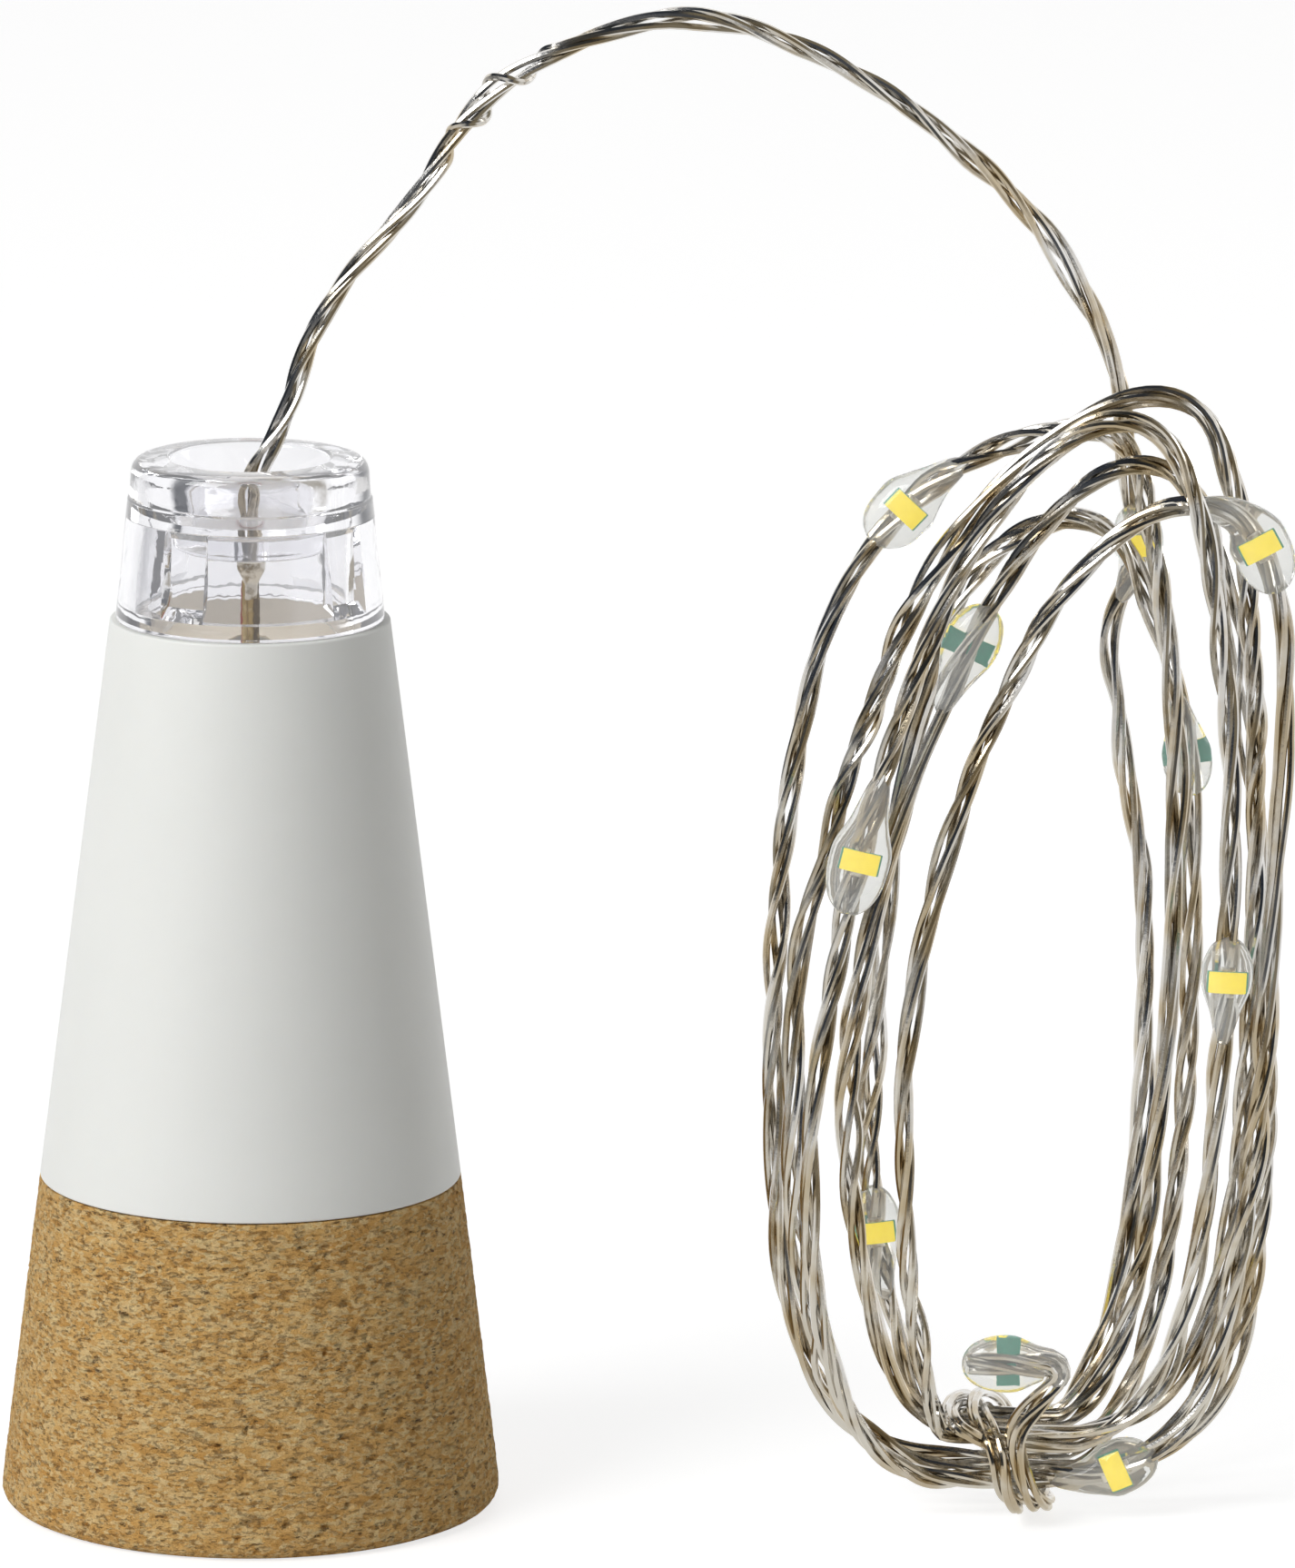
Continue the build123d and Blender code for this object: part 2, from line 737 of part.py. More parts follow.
def hank_path():
    """Six turns, from the arch's end to the tie: each turn has its own layer and shape."""
    start = arch_wire @ 1
    straight = start + down * (2 * string_radius)
    side = Vector(hank_x(entry_right_share), layer_y(0), hank_z(entry_height_share))
    edges = [Line(start, straight).edge()] + biarc(straight, down, side, down)
    lean = lean_of_entry
    for turn, shares in enumerate(turn_shares):
        waist_in, waist_out = waist_ends(turn)
        edges += biarc(side, down, waist_in, left, lean)
        lean = lean_to_waist
        edges.append(Line(waist_in, waist_out).edge())
        depth = layer_y(turn + 1)
        left_x, left_z, crest_x, crest_z, right_x, right_z = shares
        rising = Vector(hank_x(left_x), depth, hank_z(left_z))
        crest = Vector(hank_x(crest_x), depth, hank_z(crest_z))
        side = Vector(hank_x(right_x), depth, hank_z(right_z))
        edges += biarc(waist_out, left, rising, up, lean_from_waist)
        edges += biarc(rising, up, crest, right, leans_to_crest[turn])
        edges += biarc(crest, right, side, down, leans_from_crest[turn])
    waist_in, waist_out = waist_ends(len(turn_shares))
    edges += biarc(side, down, waist_in, left, lean_to_waist)
    edges.append(Line(waist_in, waist_out).edge())
    return Wire(edges)


def tie_path():
    """From the hank's end, round in front and twice round the waist, on a slant."""
    start = waist_ends(len(turn_shares))[1]
    strand_gap = 2 * string_radius + least_gap_wanted + glue_gap
    half_rise = waist_row_rise + strand_gap
    half_depth = waist_pitch * len(turn_shares) / 2 + strand_gap + tie_corner_room
    middle = Vector(start.X, hank_depth_centre, hank_low)
    straight = start + left * (2 * string_radius)
    first_x = waist_x - tie_pitch * (tie_turns - 1) / 2
    place = Vector(first_x - tie_slant, middle.Y - half_depth / 3, hank_low + half_rise)
    bend = Vector((straight.X + place.X) / 2, middle.Y - half_depth, hank_low + half_rise + strand_gap / 2)
    edges = [Line(start, straight).edge()] + biarc(straight, left, bend, right)
    edges += biarc(bend, right, place, backward)
    way = backward
    corners = [
        (Vector(0, half_depth, 0), down), (Vector(tie_slant, 0, -half_rise), forward),
        (Vector(0, -half_depth, 0), up), (Vector(-tie_slant, 0, half_rise), backward),
    ]
    for index in range(4 * tie_turns - 1):
        offset, next_way = corners[index % 4]
        target = middle + offset
        target.X = first_x + offset.X + tie_pitch * (index + 1) / 4
        edges += biarc(place, way, target, next_way)
        place, way = target, next_way
    end = place + up * tie_exit_rise + left * tie_exit_reach
    edges += biarc(place, way, end, left)
    edges.append(Line(end, end + left * tie_end_run).edge())
    return Wire(edges)


def samples(path, step):
    """Points about one step apart, edge by edge, with their distance along the path."""
    points, travelled = [], 0.0
    for edge in path.edges():
        count = max(2, math.ceil(edge.length / step))
        for index in range(count):
            points.append((travelled + edge.length * index / count, edge @ (index / count)))
        travelled += edge.length
    return points


def least_gap(path, radius):
    """The least gap between the tube's surface and itself, measured on points."""
    points = [(run, point.X, point.Y, point.Z) for run, point in samples(path, 2 * radius)]
    least = math.inf
    for index, (run, x, y, z) in enumerate(points):
        for other_run, other_x, other_y, other_z in points[index + 1:]:
            if other_run - run > math.pi * 3 * radius:
                gap = (x - other_x) ** 2 + (y - other_y) ** 2 + (z - other_z) ** 2
                least = min(least, gap)
    return math.sqrt(least) - 2 * radius


def check_tube(name, path, solid):
    """Print a wound tube's length, least gap to itself and volume against section times length."""
    section = math.pi * string_radius ** 2
    print(name, "length", round(path.length, 1), "least gap", round(least_gap(path, string_radius), 2),
          "volume share", round(solid.volume / (section * path.length), 4))


def station(path, run):
    """Local axes on a path: X across it, Z along it. Past its end the path carries straight on."""
    share = min(run / path.length, 1.0)
    along = path % share
    centre = path @ share + along * (run - share * path.length)
    return Plane(origin=centre, x_dir=along.cross(forward), z_dir=along)


def droplet_shape(path, run):
    """A drop of resin that follows its wires: wide at its chip, drawn out more on one side."""
    sections = []
    for place, width, depth in droplet_section_shares:
        outline = Ellipse(width * droplet_half_width, depth * droplet_half_depth)
        sections.append(station(path, run + place * droplet_length) * outline)
    return loft(sections)


def on_string(path, run, side, low, width, height, thickness):
    """A small flat block just off the string's surface, on the viewer's side or behind."""
    plane = station(path, run)
    across = plane.x_dir * side
    facing = Plane(origin=plane.origin, x_dir=across, z_dir=across.cross(plane.z_dir))
    return facing * Pos(0, 0, low) * Box(width, height, thickness, align=from_bottom)


arch_wire = arch_path()
hank_wire = hank_path()
tie_wire = tie_path()
string_arch = tube_along(arch_wire, string_radius)
string_hank = tube_along(hank_wire, string_radius)
string_tie = tube_along(tie_wire, string_radius)
check_tube("arch", arch_wire, string_arch)
check_tube("hank", hank_wire, string_hank)
check_tube("tie", tie_wire, string_tie)

seat = string_radius + glue_gap
places = [(hank_wire, string_hank, share * hank_wire.length) for share in droplet_shares]
places.append((tie_wire, string_tie, tie_wire.length - tie_end_run / 2))
substrates, chips, droplets = [], [], []
for (path, string, run), side in zip(places, droplet_sides):
    substrate = on_string(path, run, side, seat, chip_width, chip_height, substrate_thickness)
    chip_low = seat + substrate_thickness
    chip = on_string(path, run, side, chip_low, chip_width, chip_height, chip_thickness)
    substrates.append(substrate)
    chips.append(chip)
    droplets.append(droplet_shape(path, run) - string - chip - substrate)

save("cork_sleeve", cork_sleeve())
save("cap_liner", cap_liner())
save("switch_rotor", switch_rotor())
save("rotor_wiper", rotor_wiper())
save("rotor_retainer", rotor_retainer())
save("retainer_screws", retainer_screws())
save("switch_board", switch_board())
save("switch_pads", switch_pads())
save("carrier", carrier())
save("usb_plug_shell", usb_plug_shell())
save("usb_plug_tongue", usb_plug_tongue())
save("usb_contacts", contact_strips(0))
save("main_board", main_board())
save("board_components", board_components())
save("board_screws", board_screws())
save("cell_cradle", cell_cradle())
save("battery_cell", battery_cell())
save("cell_tabs", cell_tabs())
save("battery_lead", battery_lead())
save("cell_pad", cell_pad())
save("body_shell", body_shell())
save("string_leads", string_leads())
save("solder_joint", solder_joint())
save("lead_potting", lead_potting())
save("tip_skirt", tip_skirt())
save("tip_cup", tip_cup())
save("string_arch", string_arch)
save("string_hank", string_hank)
save("string_tie", string_tie)
save("led_droplets", droplets)
save("led_chips", chips)
save("led_substrates", substrates)
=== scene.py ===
# %% [markdown]
# # Cork bottle light
# This lesson dresses a rechargeable bottle light: a cork cap, a white tapered shell, a clear tip, and a
# string of twisted silvery wires with ten resin-dropped chips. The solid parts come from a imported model,
# the frame, and everything here is built around it, in metres and in the same place.

import bpy
import json
import math
import random
import numpy as np
from mathutils import Matrix, Vector, noise


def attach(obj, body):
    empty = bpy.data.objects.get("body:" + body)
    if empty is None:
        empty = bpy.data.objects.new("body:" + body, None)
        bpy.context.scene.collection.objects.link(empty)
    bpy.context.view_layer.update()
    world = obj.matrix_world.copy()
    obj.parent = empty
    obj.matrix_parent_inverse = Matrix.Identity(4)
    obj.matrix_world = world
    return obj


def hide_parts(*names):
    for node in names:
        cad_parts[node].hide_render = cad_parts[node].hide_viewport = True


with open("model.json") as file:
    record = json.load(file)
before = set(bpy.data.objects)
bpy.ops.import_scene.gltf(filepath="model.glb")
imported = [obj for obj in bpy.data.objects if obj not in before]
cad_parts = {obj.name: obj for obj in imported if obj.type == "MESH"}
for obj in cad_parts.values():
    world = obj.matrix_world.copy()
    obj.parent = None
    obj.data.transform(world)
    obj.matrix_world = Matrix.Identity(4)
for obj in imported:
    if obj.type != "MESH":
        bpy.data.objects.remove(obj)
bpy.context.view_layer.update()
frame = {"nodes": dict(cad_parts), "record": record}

# %% [markdown]
# ## Camera
# The photograph was taken from a little above and from far away, with a long lens. Four circles of the
# lamp (base, seam, shell top, rim) fix the camera's place and the lens, so a render can be laid over it.

# %% Camera
MM = 0.001
PHOTO_SIZE = (1426, 1726)
FOCAL_PIXELS = 12579
CAMERA_PLACE = Vector((26.0, -731.0, 206.0)) * MM
CAMERA_TILT = math.radians(90 - 12.17)
CAMERA_ROLL = math.radians(0.39)

scene = bpy.context.scene
camera_data = bpy.data.cameras.new("photo_camera")
camera_data.sensor_width = 36.0
camera_data.lens = FOCAL_PIXELS * camera_data.sensor_width / max(PHOTO_SIZE)
camera = bpy.data.objects.new("photo_camera", camera_data)
camera.matrix_world = (Matrix.Translation(CAMERA_PLACE) @ Matrix.Rotation(CAMERA_TILT, 4, "X")
                       @ Matrix.Rotation(CAMERA_ROLL, 4, "Z"))
scene.collection.objects.link(camera)
scene.camera = camera
print("lens", round(camera_data.lens, 1), "mm")

# %% [markdown]
# ## The string's route
# The string is one run of wires, from its joint in the clear tip to its cut end: an arch, a hank of six
# turns and a tie of two turns round the hank's waist. One smooth spline carries all of it. The arch's
# control points are listed, and loops work out those of the turns and the tie.

# %% Route of the arch, in millimetres
STRING_START = 63.9
ARCH_ROUTE = [
    (0.0, 0.0, 0.0), (-0.2, 0.0, 4.1), (2.1, 0.1, 8.1), (3.5, 0.2, 13.3), (6.9, 0.4, 18.8),
    (11.5, 0.8, 23.8), (15.3, 1.1, 30.2), (21.6, 1.5, 33.5), (29.2, 2.0, 35.3), (37.7, 2.6, 32.2),
    (45.8, 3.1, 26.7), (52.6, 3.7, 19.8), (56.8, 4.0, 11.6), (57.2, 4.0, 4.5), (58.3, 4.0, -0.5),
    (57.4, 4.0, -2.7), (56.3, 4.0, -5.3), (56.2, 4.0, -7.9), (56.9, 4.0, -10.9), (57.4, 4.0, -14.9),
    (58.2, 4.0, -19.3), (58.9, 4.0, -23.8),
]
route = [Vector((x, y, STRING_START + rise)) for x, y, rise in ARCH_ROUTE]
print("arch control points", len(route))

# %% [markdown]
# ## The hank's turns
# On the real light the slack wires are folded into a bundle of long loops, drawn in near the floor. Each
# loop is a little different and lies in front of the one before. A row of the table gives one turn: where
# its left edge, its crest and its right edge lie, as shares of the hank's width and height, and how far the
# bend from the left edge to the crest reaches at both of its ends.

# %% Table of the turns
HANK_LEFT, HANK_RIGHT, HANK_LOW, HANK_HIGH = 33.9, 67.3, 3.95, 74.8
HANK_DEPTH, LAYER_PITCH = -2.0, 2.0
WAIST_X, WAIST_RUN, WAIST_PITCH, WAIST_RISE = 49.4, 7.0, 1.2, 1.35
TURNS = [
    (0.205, 0.34, 0.58, 0.884, 0.845, 0.50, 0.30, 0.80), (0.005, 0.42, 0.66, 0.975, 0.800, 0.50, 0.46, 0.84),
    (0.160, 0.36, 0.76, 0.950, 0.985, 0.32, 0.26, 0.58), (0.045, 0.40, 0.80, 1.018, 0.955, 0.50, 0.18, 0.72),
    (0.265, 0.35, 0.83, 0.914, 1.000, 0.74, 0.36, 0.58), (0.085, 0.30, 0.71, 1.005, 0.900, 0.55, 0.17, 0.70),
]
print("turns", len(TURNS))


# %% Places in the hank
def in_hank(x_share, depth, z_share):
    """A place given as shares of the hank's width and height."""
    return Vector((HANK_LEFT + (HANK_RIGHT - HANK_LEFT) * x_share, depth,
                   HANK_LOW + (HANK_HIGH - HANK_LOW) * z_share))


def waist(crossing):
    """Both ends of the straight stretch where a turn passes through the waist."""
    depth = HANK_DEPTH + WAIST_PITCH * (len(TURNS) / 2 - crossing)
    level = HANK_LOW + (WAIST_RISE if crossing % 2 == 0 else -WAIST_RISE)
    return [Vector((WAIST_X + side * WAIST_RUN / 2, depth, level)) for side in (1, -1)]


print("the first turn enters the waist at", waist(0)[0].to_tuple(1))

# %% Bends between two places
UP, DOWN, LEFT, RIGHT = Vector((0, 0, 1)), Vector((0, 0, -1)), Vector((-1, 0, 0)), Vector((1, 0, 0))
BACK, FRONT = Vector((0, 1, 0)), Vector((0, -1, 0))


def swing(start, way, end, end_way, reach, end_reach, count):
    """Control points of a bend that leaves one place one way and comes to another place another way."""
    first = start + way * (reach * (end - start).dot(way))
    last = end - end_way * (end_reach * (end - start).dot(end_way))
    points = []
    for index in range(count):
        t = (index + 0.5) / count
        points.append(start * (1 - t) ** 3 + first * (3 * t * (1 - t) ** 2)
                      + last * (3 * t * t * (1 - t)) + end * t ** 3)
    return points


def jitter(points, most):
    """Wires bent by hand are never quite even."""
    return [point + Vector((random.uniform(-most, most), 0, random.uniform(-most, most))) for point in points]


# %% Route of the hank
LEANING = Vector((-0.03, 0, -1)).normalized()
WAIST_JITTER, CREST_JITTER = 0.15, 0.3
right_share, right_height = 0.755, 0.41
random.seed(5)

side = in_hank(right_share, HANK_DEPTH + LAYER_PITCH * len(TURNS) / 2, right_height)
for turn, (left_x, left_z, crest_x, crest_z, right_x, right_z, rise, run) in enumerate(TURNS):
    into, out = waist(turn)
    # a strand from further right dips longer, and one that goes further left rises longer
    dip, lift = 0.6 + right_share - 0.75, 0.86 - 2.6 * left_x
    depth = HANK_DEPTH + LAYER_PITCH * (len(TURNS) / 2 - turn - 1)
    edge, crest = in_hank(left_x, depth, left_z), in_hank(crest_x, depth, crest_z)
    route += jitter(swing(side, LEANING, into, LEFT, dip, dip, 5), WAIST_JITTER) + [into, out]
    route += jitter(swing(out, LEFT, edge, UP, lift, 0.68, 5), WAIST_JITTER)
    route += jitter(swing(edge, UP, crest, RIGHT, rise, run, 5), CREST_JITTER)
    side, right_share = in_hank(right_x, depth, right_z), right_x
    route += jitter(swing(crest, RIGHT, side, LEANING, 0.85, 0.25, 4), CREST_JITTER)
into, _ = waist(len(TURNS))
route += jitter(swing(side, LEANING, into, LEFT, 0.75, 0.75, 5), WAIST_JITTER) + [into]
print("control points with the hank", len(route))

# %% [markdown]
# ## The tie
# The string's own end comes round in front, winds twice round the waist on a slant and sticks up at the
# front. The loop goes round the waist by quarter turns: back over the top, down, forward and up.

# %% Route of the tie
TIE_TURNS, TIE_PITCH, TIE_SLANT, TIE_ROOM, TIE_SHIFT = 2, 1.6, 2.1, 0.8, 1.1
TIE_RISE, TIE_REACH, TIE_BEND = 7.5, 1.2, 0.78
STRAND_GAP = 1.75
LEAD_IN = [(-2.4, -0.3, 0.1), (-4.6, -1.1, 0.5), (-6.2, -1.6, 1.4)]
STANDING_UP = [(-0.7, 0, 1.8), (-0.4, 0, 3.4), (1.2, 0, 5.2)]
CUT_END = [(1.1, 0, -0.9), (0.7, 0, 0.1), (-0.6, 0, 0), (-5.0, 0, 0)]
# slant, rise and depth of each quarter's end, and the way that the string passes there
QUARTERS = [(0, 0, 1, DOWN), (TIE_SLANT, -1, 0, FRONT), (0, 0, -1, UP), (-TIE_SLANT, 1, 0, BACK)]

half_rise = WAIST_RISE + STRAND_GAP
half_depth = WAIST_PITCH * len(TURNS) / 2 + STRAND_GAP + TIE_ROOM
first_x = WAIST_X - TIE_SHIFT
place, way = Vector((first_x - TIE_SLANT, HANK_DEPTH - half_depth / 3, HANK_LOW + half_rise)), BACK
route += [into + Vector(step) for step in LEAD_IN] + [place + Vector((0, -1.6, 0.1)), place]
for index in range(4 * TIE_TURNS - 1):
    slant, rise, across, next_way = QUARTERS[index % 4]
    target = Vector((first_x + slant + TIE_PITCH * (index + 1) / 4,
                     HANK_DEPTH + across * half_depth, HANK_LOW + rise * half_rise))
    route += swing(place, way, target, next_way, TIE_BEND, TIE_BEND, 3)
    place, way = target, next_way
end = place + UP * TIE_RISE + RIGHT * TIE_REACH
route += [place + Vector(step) for step in STANDING_UP] + [end + Vector(step) for step in CUT_END]
print("control points in all", len(route))

# %% [markdown]
# ## Reading the spline
# Blender's own NURBS curve does the smoothing. With an order of 3 the curve follows its control points
# closely and stays smooth. The curve is turned into a mesh of one line, and its points, spread evenly
# again, are what the wires, the droplets and the chips follow.


# %% A spline as points
def spline_line(name, control):
    """Points in millimetres along a NURBS spline, as Blender draws it."""
    curve = bpy.data.curves.new(name, "CURVE")
    curve.dimensions = "3D"
    curve.resolution_u = 8
    spline = curve.splines.new("NURBS")
    spline.points.add(len(control) - 1)
    for point, spot in zip(spline.points, control):
        point.co = (*(spot * MM), 1.0)
    spline.order_u = 3
    spline.use_endpoint_u = True
    holder = bpy.data.objects.new(name, curve)
    scene.collection.objects.link(holder)
    drawn = bpy.data.meshes.new_from_object(holder.evaluated_get(bpy.context.evaluated_depsgraph_get()))
    line = np.array([vertex.co for vertex in drawn.vertices]) / MM
    bpy.data.objects.remove(holder)
    bpy.data.meshes.remove(drawn)
    return line


def spread(line, step):
    """The same line with its points one step apart, and how far along it each of them lies."""
    runs = np.concatenate([[0], np.cumsum(np.linalg.norm(np.diff(line, axis=0), axis=1))])
    even = np.linspace(0, runs[-1], round(runs[-1] / step) + 1)
    return np.stack([np.interp(even, runs, line[:, axis]) for axis in range(3)], axis=1), even


# %% The string's centre line
STRING_STEP = 0.42
centre, runs = spread(spline_line("string_route", route), STRING_STEP)
string_length = runs[-1]
print("string length", round(string_length, 1), "mm in", len(centre), "points")


# %% Directions along and across the string
def frames(line):
    """The way along a line at each of its points, and two ways across it that don't twist."""
    along = np.gradient(line, axis=0)
    along /= np.linalg.norm(along, axis=1)[:, None]
    across = np.cross(along[0], (0.3, 1.0, 0.2))
    sideways = []
    for way in along:
        across = across - way * np.dot(across, way)
        across /= np.linalg.norm(across)
        sideways.append(across)
    sideways = np.array(sideways)
    return along, sideways, np.cross(along, sideways)


along, sideways, outward = frames(centre)
print("the string leaves the tip towards", along[0].round(2))

# %% [markdown]
# ## Finishing a piece
# Every piece below ends the same way. Its faces are turned outward and shaded smooth, it is hung on the body
# that it rides on (the housing, for all but the cork), and the imported solids that it stands for are hidden.
# Edges that don't lie between two faces are counted: a closed skin has none.


# %% Helpers that finish a piece
def take_up(made):
    """Selects one object alone, and all of its mesh in edit mode."""
    bpy.ops.object.select_all(action="DESELECT")
    made.select_set(True)
    bpy.context.view_layer.objects.active = made
    bpy.ops.object.mode_set(mode="EDIT")
    bpy.ops.mesh.select_all(action="SELECT")


def finished(made, name, replaced, sharp=35, body="housing"):
    """Turns an object's faces outward, shades it, hangs it on its body and hides the parts that it replaces.
    """
    made.name = made.data.name = name
    take_up(made)
    bpy.ops.mesh.normals_make_consistent(inside=False)
    bpy.ops.object.mode_set(mode="OBJECT")
    bpy.ops.object.shade_smooth_by_angle(angle=math.radians(sharp))
    mesh = made.data
    edges = np.empty(len(mesh.loops), dtype=np.int32)
    mesh.loops.foreach_get("edge_index", edges)
    loose = int((np.bincount(edges, minlength=len(mesh.edges)) != 2).sum())
    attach(made, body)
    if replaced:
        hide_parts(*replaced)
    print(name, len(mesh.vertices), "vertices", len(mesh.polygons), "faces, open edges", loose)
    return made


# %% [markdown]
# ## The twisted wires
# Four silver-coated wires, each half a millimetre thick, are twisted together, about one turn every two
# centimetres. The twist is loose: here and there a wire bows out and light shows between them, and on the
# rise of the arch one wire curls twice round the others. A curve with a bevel could draw one wire, but the
# four have to follow each other, so each is swept as a thin tube on a helix round the centre line. Slow
# noise lets its distance and its turn wander.


# %% A tube along a line
def tube(line, radius, sides):
    """Vertices and faces of a closed round tube, in millimetres."""
    _, one, two = frames(line)
    angles = np.linspace(0, 2 * math.pi, sides, endpoint=False)
    ring = (np.cos(angles)[None, :, None] * one[:, None] + np.sin(angles)[None, :, None] * two[:, None])
    points = (line[:, None] + ring * radius).reshape(-1, 3)
    points = np.concatenate([points, line[:1], line[-1:]])
    faces = []
    for row in range(len(line) - 1):
        for spoke in range(sides):
            a, b = row * sides + spoke, row * sides + (spoke + 1) % sides
            faces.append((a, b, b + sides, a + sides))
    low, high = len(line) * sides, len(line) * sides + 1
    last = (len(line) - 1) * sides
    for spoke in range(sides):
        faces.append((low, (spoke + 1) % sides, spoke))
        faces.append((high, last + spoke, last + (spoke + 1) % sides))
    return points, faces


def strands(name, tubes, replaced, sharp=35):
    """One piece from the tubes of several wires."""
    vertices, faces = [], []
    for points, corners in tubes:
        faces += [tuple(corner + len(vertices) for corner in face) for face in corners]
        vertices += [tuple(float(c) * MM for c in point) for point in points]
    mesh = bpy.data.meshes.new(name)
    mesh.from_pydata(vertices, [], faces)
    made = bpy.data.objects.new(name, mesh)
    scene.collection.objects.link(made)
    return finished(made, name, replaced, sharp)


# %% Paths of the four wires
WIRE_RADIUS, WIRE_SIDES = 0.25, 8
TWIST_RADIUS, TWIST_PITCH = 0.37, 19.0
CURL_START, CURL_RUN, CURL_OUT, CURL_TURNS, CURL_STEP = 29.0, 10.5, 0.50, 2, 0.12
# how far each kind of unevenness goes, and over how many millimetres of string it changes
BOW, BOW_RUN, RIPPLE, RIPPLE_RUN, END_EASE = 0.36, 16.0, 0.06, 8.0, 3.0
DRIFT, DRIFT_RUN, STRAY, STRAY_RUN = 2.4, 34.0, 0.6, 18.0
NOISE_GAIN = 1.6


def wander(values, seed, size):
    """Smooth noise between about -1 and 1 along the string."""
    return np.array([noise.noise(Vector((value / size, seed * 7.3, 0.5))) for value in values]) * NOISE_GAIN


def wire_line(index):
    """The path of one of the four wires. The first one curls, and gets closer points there."""
    curl_rows = np.arange(CURL_START, CURL_START + CURL_RUN, CURL_STEP)
    rows = np.union1d(runs, curl_rows) if index == 0 else runs
    core, aside, ahead = [np.stack([np.interp(rows, runs, part[:, axis]) for axis in range(3)], axis=1)
                          for part in (centre, sideways, outward)]
    bow = (np.clip(wander(rows, index + 1, BOW_RUN), 0, 1) * BOW
           + np.abs(wander(rows, index + 20, RIPPLE_RUN)) * RIPPLE)
    ease = np.clip(np.minimum(rows, string_length - rows) / END_EASE, 0, 1)
    radius = TWIST_RADIUS + bow * ease
    turn = 2 * math.pi * (index / 4 + rows / TWIST_PITCH) + wander(rows, 40, DRIFT_RUN) * DRIFT
    turn = turn + wander(rows, index + 60, STRAY_RUN) * STRAY
    curl = np.clip((rows - CURL_START) / CURL_RUN, 0, 1) * (1 if index == 0 else 0)
    radius = radius + CURL_OUT * np.sin(math.pi * curl)
    turn = turn + 2 * math.pi * CURL_TURNS * curl
    return core + radius[:, None] * (np.cos(turn)[:, None] * aside + np.sin(turn)[:, None] * ahead)


# %% Wires of the string
string = strands("wire_string", [tube(wire_line(index), WIRE_RADIUS, WIRE_SIDES) for index in range(4)],
                 ["string_arch", "string_hank", "string_tie"])

# %% [markdown]
# ## Turned pieces
# The cork, the shell and the clear tip were all turned or moulded round one axis. Each is drawn as a closed
# outline of radius and height, in millimetres, and spun. A small radius goes on every outer edge, because
# real edges catch the light. A screw modifier could turn the outline too, but a spin is how it is done by
# hand.


# %% Outlines
def rounded(outline, radii, count=5):
    """An outline whose listed corners are rounded off."""
    points = []
    for index, corner in enumerate(outline):
        radius = radii.get(index, 0)
        spot = Vector(corner)
        if not radius:
            points.append(spot)
            continue
        before = (Vector(outline[index - 1]) - spot).normalized()
        after = (Vector(outline[(index + 1) % len(outline)]) - spot).normalized()
        half = before.angle(after) / 2
        reach = radius / math.tan(half)
        for turn in range(count + 1):
            share = turn / count
            points.append(spot + before * (reach * (1 - share) ** 2) + after * (reach * share ** 2))
    return points


def filled(outline, longest, last=math.inf):
    """The same outline with more points on its long runs, up to the last point given."""
    points = []
    for index, spot in enumerate(outline):
        after = outline[(index + 1) % len(outline)]
        count = max(1, math.ceil((after - spot).length / longest))
        if spot[0] == 0 and after[0] == 0 or index >= last:
            count = 1
        points += [spot.lerp(after, step / count) for step in range(count)]
    return points


# %% Spin an outline
EIGHTHS = 8


def joined(parts):
    """One object from several."""
    bpy.ops.object.select_all(action="DESELECT")
    for part in parts:
        part.select_set(True)
    bpy.context.view_layer.objects.active = parts[0]
    bpy.ops.object.join()
    return parts[0]


def turned(outline, spokes, push=None):
    """An object spun from a closed outline round the upright axis. push then moves each point.

    Only an eighth is spun, because a long spin is slow, and its turned copies are merged with it."""
    bpy.ops.object.select_all(action="DESELECT")
    bpy.ops.mesh.primitive_circle_add(vertices=len(outline), radius=MM)
    made = bpy.context.object
    for vertex, (radius, height) in zip(made.data.vertices, outline):
        vertex.co = Vector((radius, 0, height)) * MM
    take_up(made)
    bpy.ops.mesh.spin(steps=spokes // EIGHTHS, angle=math.pi / 4, center=(0, 0, 0), axis=(0, 0, 1))
    bpy.ops.object.mode_set(mode="OBJECT")
    eighths = [made]
    for turn in range(1, EIGHTHS):
        eighth = made.copy()
        eighth.data = made.data.copy()
        eighth.data.transform(Matrix.Rotation(turn * math.pi / 4, 4, "Z"))
        scene.collection.objects.link(eighth)
        eighths.append(eighth)
    take_up(joined(eighths))
    bpy.ops.mesh.remove_doubles(threshold=0.001 * MM)
    bpy.ops.mesh.delete_loose()
    bpy.ops.object.mode_set(mode="OBJECT")
    if push:
        for vertex in made.data.vertices:
            spot = vertex.co / MM
            vertex.co = push(spot, math.atan2(spot.y, spot.x)) * MM
    return made


# %% [markdown]
# ## Cork
# The cork end is agglomerated cork: crumbs of bark pressed together and turned to a taper. Its face is
# pitted where crumbs have torn out, and the crumbs lie in flat grains. The pits could be left to a bump in
# the material, but then the edge against the light would stay smooth, so they are pushed into a fine mesh.

# %% Cork
BASE_RADIUS, SEAM_RADIUS, SEAM_HEIGHT = 16.6, 13.87, 22.0
CORK_TOP, CORK_TOP_RADIUS = 21.92, 13.888
MOUTH_RADIUS, MOUTH_FLOOR, CAVITY_RADIUS, CAVITY_FLOOR = 12.25, 13.6, 8.75, 4.6
SKIN_RADIUS, SKIN_EDGE, CRUMBS_PRESSED = 12.9, 0.05, 1.8
GRAINS = ((1.1, 0.05), (2.6, 0.04))
PIT_FINENESS, PIT_FROM, PIT_DEEP = 1.6, 0.30, 0.9


